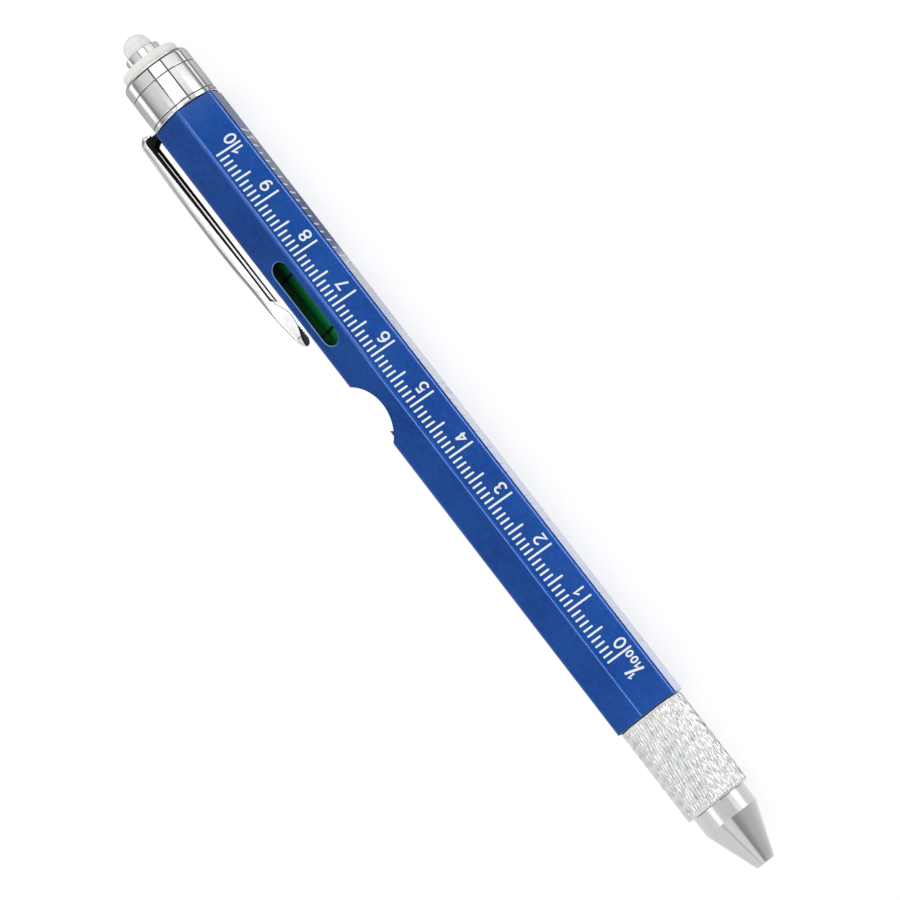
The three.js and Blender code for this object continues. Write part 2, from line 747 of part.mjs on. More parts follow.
// Core that carries the knurled sleeve, turns in the barrel and drives the cam
function gripCore() {
  const startX = gripStartX + NOSE_SPIGOT_LENGTH + FACE_GAP;
  const grooveRadius = seatRadius - FRICTION_RING_DEPTH;
  const profile = [
    [startX, refillPassRadius],
    [startX, gripFitRadius],
    [gripEndX, gripFitRadius],
    [gripEndX, seatRadius],
    [frictionRingX - FACE_GAP, seatRadius],
    [frictionRingX - FACE_GAP, grooveRadius],
    [frictionRingX + FRICTION_RING_WIDTH + FACE_GAP, grooveRadius],
    [frictionRingX + FRICTION_RING_WIDTH + FACE_GAP, seatRadius],
    [journalEndX, seatRadius],
    [journalEndX, CAM_RADIUS + FACE_GAP],
    [camStartX - FACE_GAP, CAM_RADIUS + FACE_GAP],
    [camStartX - FACE_GAP, refillPassRadius],
    [startX, refillPassRadius],
  ];
  return turned(profile, INNER_SIDES);
}

function frictionRing() {
  const inner = seatRadius - FRICTION_RING_DEPTH + FACE_GAP;
  const endX = frictionRingX + FRICTION_RING_WIDTH;
  return tube(frictionRingX, endX, seatRadius + FACE_GAP, inner, INNER_SIDES);
}

function noseCone() {
  const spigotEndX = gripStartX + NOSE_SPIGOT_LENGTH;
  const mouthEndX = noseTipX + NOSE_MOUTH_LENGTH;
  const tipCentre = [noseTipX + NOSE_TIP_ROUND, NOSE_TIP_RADIUS - NOSE_TIP_ROUND];
  const tip = cornerPoints(tipCentre, [NOSE_TIP_ROUND, NOSE_TIP_ROUND], Math.PI, Math.PI / 2, ROUND_STEPS);
  const profile = [
    [noseTipX, NOSE_MOUTH_RADIUS],
    ...tip,
    [noseConeX, NOSE_RADIUS],
    [noseShoulderX, NOSE_RADIUS],
    [noseShoulderX, gripFitRadius],
    [spigotEndX, gripFitRadius],
    [spigotEndX, refillPassRadius],
    [mouthEndX + NOSE_TAPER_LENGTH, refillPassRadius],
    [mouthEndX, NOSE_MOUTH_RADIUS],
    [noseTipX, NOSE_MOUTH_RADIUS],
  ];
  return turned(profile, OUTER_SIDES);
}

const refillNeckX = refillPointX + REFILL_NECK_LENGTH;
const refillTipEndX = refillPointX + REFILL_TIP_LENGTH;
const ballCentreX = refillPointX + REFILL_BALL_RADIUS;

function refillTip() {
  const startX = ballCentreX + REFILL_BALL_RADIUS + FACE_GAP;
  const profile = [
    [startX, 0],
    [startX, REFILL_MOUTH_RADIUS],
    [startX + REFILL_NECK_RADIUS, REFILL_NECK_RADIUS],
    [refillNeckX, REFILL_NECK_RADIUS],
    [refillNeckX + REFILL_TAPER_LENGTH, REFILL_RADIUS],
    [refillTipEndX, REFILL_RADIUS],
    [refillTipEndX, 0],
  ];
  return turned(profile, SMALL_SIDES);
}

function refillTube() {
  return tube(refillTipEndX + FACE_GAP, refillEndX, REFILL_RADIUS, REFILL_BORE_RADIUS, SMALL_SIDES);
}

function refillBall() {
  const ball = new THREE.SphereGeometry(REFILL_BALL_RADIUS, SMALL_SIDES, ROUND_STEPS * 2);
  ball.translate(ballCentreX, 0, 0);
  return tidied(ball);
}

// Slot along a helix through the cam's wall: turning the cam draws the drive pin toward the tip
function helixCutter() {
  const slotReach = DRIVE_PIN_RADIUS + SEAT_GAP;
  const slope = Math.atan2(EXTEND_TRAVEL, EXTEND_TURN * CAM_RADIUS);
  const slotHalf = slotReach / Math.cos(slope);
  const endAngle = slotReach / CAM_INNER_RADIUS;
  const steps = CURL_STEPS * 2;
  const rings = Array.from({ length: steps + 1 }, (_, step) => {
    const turn = THREE.MathUtils.lerp(-endAngle, EXTEND_TURN + endAngle, step / steps);
    const x = drivePinX - (EXTEND_TRAVEL * turn) / EXTEND_TURN;
    const angle = Math.PI / 2 - turn;
    const inner = CAM_INNER_RADIUS - SEAT_GAP * 2;
    const outer = CAM_RADIUS + SEAT_GAP * 2;
    const corners = [
      [inner, -slotHalf],
      [inner, slotHalf],
      [outer, slotHalf],
      [outer, -slotHalf],
    ];
    return corners.map(
      ([radius, shift]) => new THREE.Vector3(x + shift, radius * Math.cos(angle), radius * Math.sin(angle)),
    );
  });
  return skinned(rings);
}

function twistCam() {
  const body = tube(camStartX, camEndX, CAM_RADIUS, CAM_INNER_RADIUS, INNER_SIDES);
  return cutFrom(body, helixCutter());
}

// Housing fixed in the barrel, with a straight slot that keeps the drive pin from turning
function mechanismHousing() {
  const profile = [
    [housingStartX, HOUSING_INNER_RADIUS],
    [housingStartX, seatRadius],
    [housingEndX, seatRadius],
    [housingEndX, 0],
    [housingWallX, 0],
    [housingWallX, HOUSING_INNER_RADIUS],
    [housingStartX, HOUSING_INNER_RADIUS],
  ];
  const slotReach = DRIVE_PIN_RADIUS + SEAT_GAP;
  const slot = new THREE.BoxGeometry(
    EXTEND_TRAVEL + 2 * slotReach,
    2 * slotReach,
    BORE_RADIUS,
  );
  slot.translate(drivePinX - EXTEND_TRAVEL / 2, 0, CAM_RADIUS + BORE_RADIUS / 2);
  return cutFrom(turned(profile, INNER_SIDES), slot);
}

function refillCarrier() {
  const socketEndX = refillEndX + FACE_GAP;
  const profile = [
    [carrierStartX, REFILL_RADIUS + CARRIER_SOCKET_GAP],
    [carrierStartX, CARRIER_RADIUS],
    [carrierEndX, CARRIER_RADIUS],
    [carrierEndX, 0],
    [socketEndX, 0],
    [socketEndX, REFILL_RADIUS + CARRIER_SOCKET_GAP],
    [carrierStartX, REFILL_RADIUS + CARRIER_SOCKET_GAP],
  ];
  const pin = new THREE.CylinderGeometry(DRIVE_PIN_RADIUS, DRIVE_PIN_RADIUS, seatRadius, SMALL_SIDES);
  pin.rotateX(Math.PI / 2);
  pin.translate(drivePinX, 0, seatRadius / 2 - FACE_GAP);
  return joined(turned(profile, INNER_SIDES), pin);
}

const pen = new THREE.Group();

function add(name, geometry, finish) {
  const mesh = new THREE.Mesh(geometry, new THREE.MeshStandardMaterial(finish));
  mesh.name = name;
  pen.add(mesh);
}

add("barrel", barrel(), bluePaint);
add("opener_block", openerBlock(), darkSteel);
add("opener_tooth", toothBody(0), darkSteel);

add("level_vial", vialTube(), clearAcrylic);
add("level_line_front", vialLine(-1), blackPlastic);
add("level_line_rear", vialLine(1), blackPlastic);
add("level_plug_front", vialPlug(-1), whitePlastic);
add("level_plug_rear", vialPlug(1), whitePlastic);
add("level_fluid", vialFluid(), greenFluid);
add("level_bubble", vialBubble(), air);

add("clip_ring", clipRing(), chrome);
add("clip_arm", clipArm(), chrome);

add("head_body", headBody(), chrome);
add("head_cap", headCap(), chrome);
add("light_button", lightButton(), milkyPlastic);
add("led_collar", ledCollar(), chrome);
add("led", led(), ledEpoxy);
add("led_lead", ledLead(), brass);
const buttonSpringStartX = headSocketX + FACE_GAP;
const buttonSpringEndX = buttonUndersideX - FACE_GAP;
add(
  "button_spring",
  spring(
    "button_spring",
    buttonSpringStartX,
    buttonSpringEndX,
    BUTTON_SPRING_RADIUS,
    BUTTON_WIRE,
    BUTTON_SPRING_TURNS,
  ),
  steel,
);

for (let number = 0; number < CELL_COUNT; number += 1) {
  add(`button_cell_${number + 1}`, cell(number), steel);
}
add(
  "battery_spring",
  spring(
    "battery_spring",
    contactEndX + FACE_GAP,
    cellsStartX - FACE_GAP,
    BATTERY_SPRING_RADIUS,
    BATTERY_WIRE,
    BATTERY_SPRING_TURNS,
  ),
  steel,
);
add("battery_contact", rod(contactStartX, contactEndX, seatRadius, INNER_SIDES), brass);
add("battery_stop", rod(stopStartX, stopEndX, seatRadius, INNER_SIDES), whitePlastic);

add("grip_sleeve", gripSleeve(), satinAluminium);
add("grip_core", gripCore(), brass);
add("friction_ring", frictionRing(), blackRubber);
add("nose_cone", noseCone(), satinAluminium);
add("twist_cam", twistCam(), brass);
add("mechanism_housing", mechanismHousing(), blackPlastic);
add("refill_carrier", refillCarrier(), blackPlastic);
add("refill_tube", refillTube(), steel);
add("refill_tip", refillTip(), brass);
add("refill_ball", refillBall(), steel);

pen.position.z = flatDistance;

export default pen;
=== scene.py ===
"""Six-sided tool pen with a twist grip, printed scale, opener notch, spirit level, clip and push lamp."""

import logging
import math
from collections.abc import Iterable
from dataclasses import dataclass, field
from enum import Enum, IntEnum
from functools import cache

import bmesh
import bpy
from mathutils import Matrix, Vector, noise


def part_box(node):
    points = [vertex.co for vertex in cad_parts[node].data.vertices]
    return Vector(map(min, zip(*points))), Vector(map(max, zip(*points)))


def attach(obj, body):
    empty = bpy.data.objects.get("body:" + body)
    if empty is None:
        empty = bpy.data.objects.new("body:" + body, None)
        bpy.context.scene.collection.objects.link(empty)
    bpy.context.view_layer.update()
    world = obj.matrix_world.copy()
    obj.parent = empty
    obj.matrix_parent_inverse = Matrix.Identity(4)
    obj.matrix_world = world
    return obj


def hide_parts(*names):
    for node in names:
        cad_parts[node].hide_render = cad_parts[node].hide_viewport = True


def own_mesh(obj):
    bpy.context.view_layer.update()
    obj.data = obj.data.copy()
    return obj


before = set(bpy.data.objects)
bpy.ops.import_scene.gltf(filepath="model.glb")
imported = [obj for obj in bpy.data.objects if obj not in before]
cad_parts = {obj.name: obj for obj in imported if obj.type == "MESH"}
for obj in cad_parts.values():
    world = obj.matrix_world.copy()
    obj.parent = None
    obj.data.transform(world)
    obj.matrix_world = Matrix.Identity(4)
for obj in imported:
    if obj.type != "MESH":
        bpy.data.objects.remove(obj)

log = logging.getLogger("tool_pen")

MM = 0.001
ROUND_STEPS = 144
SMALL_STEPS = 48
COIL_STEPS = 32
WIRE_SIDES = 10
SHARP_ANGLE = 35.0
ON_AXIS = 1e-6
QUARTER_TURN = math.pi / 2
GROOVE_DEPTH = "groove_depth"

Point = tuple[float, float]
Outline = list[Point]
Stops = tuple[Point, ...]
Colour = tuple[float, float, float, float]
Shape = bmesh.types.BMesh
Socket = bpy.types.NodeSocket
Inputs = dict[int | str, object]


class Body(Enum):
    """Bodies of the pen that move on their own."""

    BARREL = "barrel"
    BUBBLE = "bubble"
    CLIP = "clip"
    HEAD = "head"
    LAMP_BUTTON = "lamp_button"
    GRIP = "grip"
    NOSE = "nose"
    REFILL = "refill"


class Flat(Enum):
    """Flats of the six-sided barrel, as the turn in degrees that brings the top one there."""

    CENTIMETRE = 60.0
    INCH = 120.0
    CLIP = -60.0

    def turn(self) -> Matrix:
        """Turn about the pen's axis that carries a shape on the top flat to this flat."""
        return Matrix.Rotation(math.radians(self.value), 4, "X")


@dataclass(frozen=True)
class Span:
    """Start and end of a solid along the pen, in millimetres."""

    start: float
    end: float

    @classmethod
    @cache
    def of(cls, node: str) -> "Span":
        """Span of a solid at rest."""
        low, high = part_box(node)
        return cls(low.x / MM, high.x / MM)

    @property
    def middle(self) -> float:
        """Middle of the span."""
        return (self.start + self.end) / 2

    @property
    def length(self) -> float:
        """Length of the span."""
        return self.end - self.start


# Shader nodes and finishes


class Bench:
    """Places and wires the nodes of one material, group or world."""

    def __init__(self, tree: bpy.types.NodeTree) -> None:
        """Starts on an emptied node tree."""
        self.tree = tree
        tree.nodes.clear()

    def add(self, kind: str, inputs: Inputs | None = None, **settings: object) -> bpy.types.Node:
        """Adds a node.

        Args:
            kind: Node type name.
            inputs: Socket name or number to a value, or to the socket that feeds it.
            settings: Properties of the node itself.

        Returns:
            The new node.
        """
        node = self.tree.nodes.new(kind)
        node.location = (180 * len(self.tree.nodes), 0)
        for name, value in settings.items():
            setattr(node, name, value)
        for name, value in (inputs or {}).items():
            if isinstance(value, Socket):
                self.tree.links.new(value, node.inputs[name])
            else:
                node.inputs[name].default_value = value
        return node

    def maths(self, operation: str, first: object, second: object = 0.0, third: object = 0.0) -> Socket:
        """Adds a Math node and returns its output."""
        return self.add("ShaderNodeMath", {0: first, 1: second, 2: third}, operation=operation).outputs[0]

    def blend(self, factor: object, first: object, second: object) -> Socket:
        """Adds a colour mix and returns its output."""
        return self.add("ShaderNodeMix", {0: factor, 6: first, 7: second}, data_type="RGBA").outputs[2]

    def spread(self, value: Socket, start: float, end: float, low: float = 0.0, high: float = 1.0) -> Socket:
        """Maps a value's run from start to end onto low to high, and returns the output."""
        ends = {"From Min": start, "From Max": end, "To Min": low, "To Max": high}
        return self.add("ShaderNodeMapRange", {"Value": value, **ends}).outputs[0]

    def grain(self, place: Socket, scale: object, detail: float, roughness: float = 0.5) -> Socket:
        """Adds a noise and returns its value."""
        settings = {"Vector": place, "Scale": scale, "Detail": detail, "Roughness": roughness}
        return self.add("ShaderNodeTexNoise", settings).outputs[0]

    def effect(self, group: bpy.types.NodeTree, inputs: Inputs) -> Socket:
        """Places a shared effect and returns its output."""
        return self.add("ShaderNodeGroup", inputs, node_tree=group).outputs[0]

    def ramp(self, factor: Socket, stops: Stops, peak: float) -> Socket:
        """Adds a grey colour ramp.

        Args:
            factor: Socket that drives it.
            stops: Pairs of place and level, in order of place.
            peak: Level that the ramp stores as white.

        Returns:
            The ramp's colour output, as a share of the peak.
        """
        node = self.add("ShaderNodeValToRGB", {0: factor})
        elements = node.color_ramp.elements
        for number, (place, level) in enumerate(stops):
            element = elements[number] if number < 2 else elements.new(place)
            element.position = place
            element.color = (level / peak, level / peak, level / peak, 1.0)
        return node.outputs[0]


class Effects:
    """Shader node groups that several finishes use, each built once, at its first use."""

    @staticmethod
    def group(name: str, levels: dict[str, float], result: str, kind: str) -> tuple[Bench, bpy.types.Node]:
        """Starts a node group that reads a place and some levels.

        Args:
            name: Name of the group.
            levels: Name and usual value of each level.
            result: Name of its one output.
            kind: Socket type of the output.

        Returns:
            The group's bench and its input node.
        """
        tree = bpy.data.node_groups.new(name, "ShaderNodeTree")
        tree.interface.new_socket(name="Vector", in_out="INPUT", socket_type="NodeSocketVector")
        for label, value in levels.items():
            level = tree.interface.new_socket(name=label, in_out="INPUT", socket_type="NodeSocketFloat")
            level.default_value = value
        tree.interface.new_socket(name=result, in_out="OUTPUT", socket_type=kind)
        bench = Bench(tree)
        return bench, bench.add("NodeGroupInput")

    @staticmethod
    @cache
    def smudge() -> bpy.types.NodeTree:
        """Soft uneven mask from a broad and a fine noise, for handling marks and paint clouds.

        Returns:
            The group.
        """
        levels = {"Broad": 120.0, "Fine": 2400.0}
        bench, given = Effects.group("Smudge", levels, "Mask", "NodeSocketFloat")
        broad = bench.grain(given.outputs["Vector"], given.outputs["Broad"], 3.0)
        fine = bench.grain(given.outputs["Vector"], given.outputs["Fine"], 4.0, 0.65)
        both = bench.maths("MULTIPLY_ADD", fine, 0.5, bench.maths("MULTIPLY", broad, 0.5))
        bench.add("NodeGroupOutput", {"Mask": bench.spread(both, 0.3, 0.7)})
        return bench.tree

    @staticmethod
    @cache
    def relief() -> bpy.types.NodeTree:
        """Normal of a fine grain, for paint, plastic and blasted metal.

        Returns:
            The group.
        """
        levels = {"Grain": 4000.0, "Strength": 0.1, "Depth": 0.00002}
        bench, given = Effects.group("Fine relief", levels, "Normal", "NodeSocketVector")
        height = bench.grain(given.outputs["Vector"], given.outputs["Grain"], 3.0)
        size = {"Strength": given.outputs["Strength"], "Distance": given.outputs["Depth"]}
        bump = bench.add("ShaderNodeBump", {"Height": height, **size})
        bench.add("NodeGroupOutput", {"Normal": bump.outputs[0]})
        return bench.tree

    @staticmethod
    @cache
    def turning() -> bpy.types.NodeTree:
        """Fine rings round the pen's axis, as a lathe tool leaves them.

        Returns:
            The group.
        """
        bench, given = Effects.group("Turning marks", {"Pitch": 900.0}, "Mask", "NodeSocketFloat")
        settings = {"Scale": given.outputs["Pitch"], "Distortion": 1.5, "Detail": 2.0}
        rings = bench.add("ShaderNodeTexWave", {"Vector": given.outputs["Vector"], **settings})
        bench.add("NodeGroupOutput", {"Mask": rings.outputs["Fac"]})
        return bench.tree


@dataclass(frozen=True)
class Finish:
    """A surface finish: its sizes and colours, and the material made from them."""

    name: str
    slot: str = ""
    colour: Colour = (0.8, 0.8, 0.8, 1.0)
    shade: Colour = (0.7, 0.7, 0.7, 1.0)
    roughness: Point = (0.3, 0.4)
    metallic: float = 0.0
    plain: Inputs = field(default_factory=dict)
    broad: float = 120.0
    fine: float = 2400.0
    grain: float = 4000.0
    relief: float = 0.1
    depth: float = 0.00002
    turned: float = 0.0

    def material(self) -> bpy.types.Material:
        """The finish's material, made at its first use.

        Returns:
            The one material of this name.
        """
        made = bpy.data.materials.get(self.name)
        if made is None:
            made = bpy.data.materials.new(self.name)
            made.use_nodes = True
            self.wire(Bench(made.node_tree))
        return made

    def wire(self, bench: Bench) -> None:
        """Wires colour, roughness and relief to the shader.

        Args:
            bench: Bench on the material's node tree.
        """
        place = bench.add("ShaderNodeTexCoord").outputs["Object"]
        mask = bench.effect(Effects.smudge(), {"Vector": place, "Broad": self.broad, "Fine": self.fine})
        if self.turned:
            rings = bench.effect(Effects.turning(), {"Vector": place})
            rest = bench.maths("MULTIPLY", mask, 1.0 - self.turned)
            mask = bench.maths("MULTIPLY_ADD", rings, self.turned, rest)
        sizes = {"Grain": self.grain, "Strength": self.relief, "Depth": self.depth}
        surface = {
            "Base Color": self.coloured(bench, place, mask),
            "Roughness": bench.spread(mask, 0.0, 1.0, *self.roughness),
            "Metallic": self.metallic,
            "Normal": bench.effect(Effects.relief(), {"Vector": place, **sizes}),
        }
        shader = bench.add("ShaderNodeBsdfPrincipled", {**surface, **self.plain, **self.lit(bench, place)})
        bench.add("ShaderNodeOutputMaterial", {"Surface": shader.outputs[0]})

    def coloured(self, bench: Bench, place: Socket, mask: Socket) -> Socket:
        """Colour over the surface: the main colour, drifting to the shade by the mask."""
        return bench.blend(mask, self.colour, self.shade)

    def lit(self, bench: Bench, place: Socket) -> Inputs:
        """Inputs of the shader for painted light: none on a plain finish."""
        return {}


@dataclass(frozen=True)
class FlakePaint(Finish):
    """Gloss paint with fine metallic flakes under its clear coat."""

    flake_size: float = 9000.0
    flake: Colour = (0.1, 0.2, 0.5, 1.0)
    flake_share: float = 0.3

    def coloured(self, bench: Bench, place: Socket, mask: Socket) -> Socket:
        """Clouded base colour, with some flakes lighter than it.

        Args:
            bench: Bench on the material's node tree.
            place: Place on the surface.
            mask: Mask of the clouds.

        Returns:
            The colour.
        """
        cells = bench.add("ShaderNodeTexVoronoi", {"Vector": place, "Scale": self.flake_size})
        chance = bench.add("ShaderNodeSeparateColor", {0: cells.outputs["Color"]}).outputs[0]
        spark = bench.maths("MULTIPLY", bench.maths("POWER", chance, 3.0), self.flake_share)
        return bench.blend(spark, super().coloured(bench, place, mask), self.flake)


@dataclass(frozen=True)
class KnurledMetal(Finish):
    """Bare metal with painted shade in its knurled grooves."""

    groove: Colour = (0.34, 0.34, 0.34, 1.0)
    # Groove depths, as shares, over which the painted groove shade comes in.
    film: Point = (0.45, 1.0)

    def coloured(self, bench: Bench, place: Socket, mask: Socket) -> Socket:
        """Clean ridges, with painted shade darker toward the grooves' bottoms."""
        depth = bench.add("ShaderNodeAttribute", attribute_name=GROOVE_DEPTH).outputs["Fac"]
        return bench.blend(bench.spread(depth, *self.film), super().coloured(bench, place, mask), self.groove)


@dataclass(frozen=True)
class LitFinish(Finish):
    """A finish with a painted glow: emission that stands in for light, stronger toward one side."""

    glow: Colour = (0.0, 0.0, 0.0, 1.0)
    span: Point = (0.0, 0.001)
    axis: str = "Z"
    fade: Point = (0.08, 0.065)
    least: float = 0.14

    def lit(self, bench: Bench, place: Socket) -> Inputs:
        """The painted glow, which grows across the span and along the pen.

        Args:
            bench: Bench on the material's node tree.
            place: Place on the surface.

        Returns:
            The shader's input for it.
        """
        split = bench.add("ShaderNodeSeparateXYZ", {0: place})
        across = bench.spread(split.outputs[self.axis], *self.span)
        along = bench.spread(split.outputs["X"], *self.fade, self.least)
        share = bench.maths("MULTIPLY", across, along)
        return {"Emission Color": bench.blend(share, (0, 0, 0, 1), self.glow)}


class Finishes:
    """Every finish on the pen."""

    BLUE_PAINT = FlakePaint(
        "Blue flake paint", "blue_paint", (0.002, 0.08, 0.46, 1), (0.012, 0.135, 0.6, 1), (0.3, 0.4), 0.9,
        {"Coat Weight": 1.0, "Coat Roughness": 0.03, "Coat IOR": 1.5},
        broad=110, fine=900, grain=900, relief=0.05,
    )
    # Near-black painted shade for the inside of the bore.
    BORE = Finish(
        "Bore in painted shade", "", (0.01, 0.01, 0.011, 1), (0.02, 0.02, 0.022, 1), (0.45, 0.6),
        plain={"Specular IOR Level": 0.2},
    )
    # Dark window wall with a painted green glow that grows deeper down: a painted reflection of the fluid,
    # darker toward the rear.
    WINDOW_WALL = LitFinish(
        "Window wall", "", (0.055, 0.07, 0.055, 1), (0.045, 0.06, 0.045, 1), (0.08, 0.12), 1.0,
        {"Emission Strength": 1.0}, relief=0.01,
        glow=(0.0006, 0.026, 0.005, 1), span=(0.0111, 0.0097), axis="Z", least=0.0,
    )
    # Light blue chamfer round the window: a painted highlight.
    WORN_EDGE = Finish(
        "Window rim with painted highlight", "", (0.25, 0.42, 0.78, 1), (0.16, 0.3, 0.66, 1), (0.35, 0.5), broad=700,
    )
    CHROME = Finish(
        "Polished chrome", "chrome", (0.93, 0.935, 0.94, 1), (0.89, 0.895, 0.9, 1), (0.02, 0.07), 1.0,
        broad=150, fine=1800, grain=700, relief=0.012,
    )
    CLIP_CHROME = Finish(
        "Soft chrome", "chrome", (0.95, 0.95, 0.945, 1), (0.9, 0.9, 0.9, 1), (0.11, 0.17), 1.0,
        broad=150, fine=1800, grain=1500, relief=0.02,
    )
    # Near-black painted shade for the clip's trough, hems, tip underside and the front of the lug's root.
    SHADED_CHROME = Finish(
        "Chrome in painted shade", "", (0.004, 0.004, 0.005, 1), (0.012, 0.012, 0.014, 1), (0.45, 0.6),
        plain={"Specular IOR Level": 0.12}, relief=0.08,
    )
    # Grey chrome that glows: a painted reflection for the thin light lines on the clip's ledges and under its
    # foot.
    BRIGHT_CHROME = Finish(
        "Chrome with painted reflection", "", (0.6, 0.6, 0.6, 1), (0.5, 0.5, 0.5, 1), (0.2, 0.35), 0.5,
        {"Emission Color": (0.8, 0.8, 0.79, 1), "Emission Strength": 1.0}, relief=0.02,
    )
    SATIN = Finish(
        "Satin aluminium", "satin_aluminium", (0.86, 0.865, 0.87, 1), (0.8, 0.805, 0.81, 1), (0.09, 0.16),
        1.0, grain=3000, relief=0.01, turned=0.4,
    )
    KNURLED = KnurledMetal(
        "Knurled aluminium", "satin_aluminium", (1, 0.99, 0.95, 1), (0.84, 0.875, 0.9, 1), (0.14, 0.3), 0.7,
        broad=260, fine=5000, grain=5000, relief=0.15,
    )
    DARK_STEEL = Finish(
        "Dark steel", "dark_steel", (0.07, 0.07, 0.075, 1), (0.12, 0.12, 0.125, 1), (0.28, 0.42), 1.0,
        relief=0.08,
    )
    STEEL = Finish(
        "Bright steel", "steel", (0.6, 0.61, 0.63, 1), (0.5, 0.51, 0.53, 1), (0.18, 0.34), 1.0, turned=0.4,
    )
    BRASS = Finish(
        "Brass", "brass", (0.72, 0.52, 0.22, 1), (0.6, 0.42, 0.17, 1), (0.2, 0.36), 1.0, turned=0.4,
    )
    WHITE_INK = Finish(
        "White print", "", (0.93, 0.98, 1.0, 1), (0.88, 0.94, 1.0, 1), (0.4, 0.55),
        broad=700, fine=9000, relief=0.08,
    )
    BLACK_LINE = Finish(
        "Black line", "black_plastic", (0.003, 0.004, 0.003, 1), (0.008, 0.009, 0.008, 1), (0.5, 0.65),
        plain={"Specular IOR Level": 0.1},
    )
    BLACK_PLASTIC = Finish(
        "Black plastic", "black_plastic", (0.02, 0.02, 0.021, 1), (0.035, 0.035, 0.036, 1), (0.4, 0.55),
    )
    WHITE_PLASTIC = Finish(
        "White plastic", "white_plastic", (0.82, 0.82, 0.79, 1), (0.76, 0.76, 0.73, 1), (0.4, 0.5),
    )
    RUBBER = Finish(
        "Black rubber", "black_rubber", (0.015, 0.015, 0.015, 1), (0.03, 0.03, 0.03, 1), (0.7, 0.85),
        relief=0.25,
    )
    MILKY = Finish(
        "Milky plastic", "milky_plastic", (0.95, 0.95, 0.89, 1), (0.9, 0.9, 0.84, 1), (0.32, 0.45),
        plain={
            "Subsurface Weight": 0.35, "Subsurface Radius": (1.0, 0.95, 0.8), "Subsurface Scale": 0.0012,
        },
        relief=0.05,
    )
    LAMP_EPOXY = Finish(
        "Frosted epoxy", "led_epoxy", (0.95, 0.95, 0.95, 1), (0.9, 0.9, 0.9, 1), (0.12, 0.22),
        plain={
            "Subsurface Weight": 0.3, "Subsurface Radius": (1.0, 1.0, 1.0), "Subsurface Scale": 0.0015,
            "Coat Weight": 0.4, "Coat Roughness": 0.15, "Coat IOR": 1.5,
        },
        relief=0.03,
    )
    ACRYLIC = Finish(
        "Clear acrylic", "clear_acrylic", (0.97, 1.0, 0.98, 1), (0.93, 0.98, 0.95, 1), (0.01, 0.05),
        plain={"Transmission Weight": 1.0, "IOR": 1.49}, relief=0.01,
    )
    # Green fluid with a painted glow, brighter toward one side and darker toward the rear: painted light and
    # shade.
    GREEN_FLUID = LitFinish(
        "Green level fluid", "green_fluid", (0.004, 0.11, 0.03, 1), (0.003, 0.09, 0.02, 1), (0.08, 0.16),
        plain={
            "Transmission Weight": 0.1, "IOR": 1.33, "Specular IOR Level": 0.1, "Emission Strength": 1.0,
        },
        relief=0.01, glow=(0.008, 0.2, 0.058, 1), span=(0.0026, -0.0005), axis="Y",
    )
    AIR = Finish(
        "Air bubble", "bubble_air", (0.9, 1.0, 0.93, 1), (0.85, 0.97, 0.9, 1), (0.01, 0.03),
        plain={"Transmission Weight": 1.0, "IOR": 1.05}, relief=0.01,
    )


# Shaping


def arc(centre: Point, reach: Point, start: float, end: float, steps: int) -> Outline:
    """Points of a round or oval corner.

    Args:
        centre: Centre of the corner.
        reach: Half widths along both axes.
        start: First angle in degrees.
        end: Last angle in degrees.
        steps: Number of steps between them.

    Returns:
        The points in order.
    """
    angles = [math.radians(start + (end - start) * step / steps) for step in range(steps + 1)]
    return [(centre[0] + reach[0] * math.cos(a), centre[1] + reach[1] * math.sin(a)) for a in angles]


def band(span: Span, inner: float, outer: float) -> Outline:
    """Profile of a plain ring, tube or bar: its section on one side of the pen's axis."""
    return [(span.start, inner), (span.start, outer), (span.end, outer), (span.end, inner)]


def mixed(ends: Point, share: float) -> float:
    """Value at a share of the way between two ends."""
    return ends[0] + (ends[1] - ends[0]) * share


def rounded(start: Vector, corner: Vector, end: Vector, steps: int) -> Outline:
    """Points of a soft turn from a start to an end, drawn toward a corner."""
    shares = [step / steps for step in range(steps + 1)]
    return [tuple((1 - t) ** 2 * start + 2 * t * (1 - t) * corner + t**2 * end) for t in shares]


def eased(outline: Outline, width: float, steps: int = 3) -> Outline:
    """Rounds the sharp corners of a closed outline and adds a point next to each, so that flats shade flat.

    Args:
        outline: Corners in order.
        width: Reach of each rounding.
        steps: Steps of each rounding.

    Returns:
        The rounded outline.
    """
    most, margin = 0.3, 1.5
    points: Outline = []
    for number, corner in enumerate(outline):
        here = Vector(corner)
        before = Vector(outline[number - 1]) - here
        after = Vector(outline[(number + 1) % len(outline)]) - here
        if before.angle(-after) < math.radians(SHARP_ANGLE):
            points.append(corner)
            continue
        reach = min(width, before.length * most, after.length * most)
        back, on = before.normalized() * reach, after.normalized() * reach
        points += [tuple(here + back * margin), *rounded(here + back, here, here + on, steps)]
        points.append(tuple(here + on * margin))
    return points


def ribbon(bm: Shape, path: Outline, width: float, height: float, closed: bool) -> None:
    """Draws a flat band of even width along a path.

    Args:
        bm: Mesh that gets the band.
        path: Points of its middle line.
        width: Width of the band.
        height: Height that it lies at.
        closed: Whether the path is a loop, whose last point then repeats the first.
    """
    points = [Vector(point) for point in (path[:-1] if closed else path)]
    runs = [(b - a).normalized() for a, b in zip(points, points[1:])]
    loop = (points[0] - points[-1]).normalized() if closed else None
    sides = []
    for point, first, second in zip(points, [loop or runs[0], *runs], [*runs, loop or runs[-1]]):
        middle = (first + second).normalized()
        out = Vector((-middle.y, middle.x)) * (width / 2 / max(middle.dot(first), 0.6))
        sides.append([bm.verts.new((*(point + side * out), height)) for side in (1, -1)])
    for a, b in list(zip(sides, sides[1:])) + ([(sides[-1], sides[0])] if closed else []):
        bm.faces.new((a[0], b[0], b[1], a[1]))


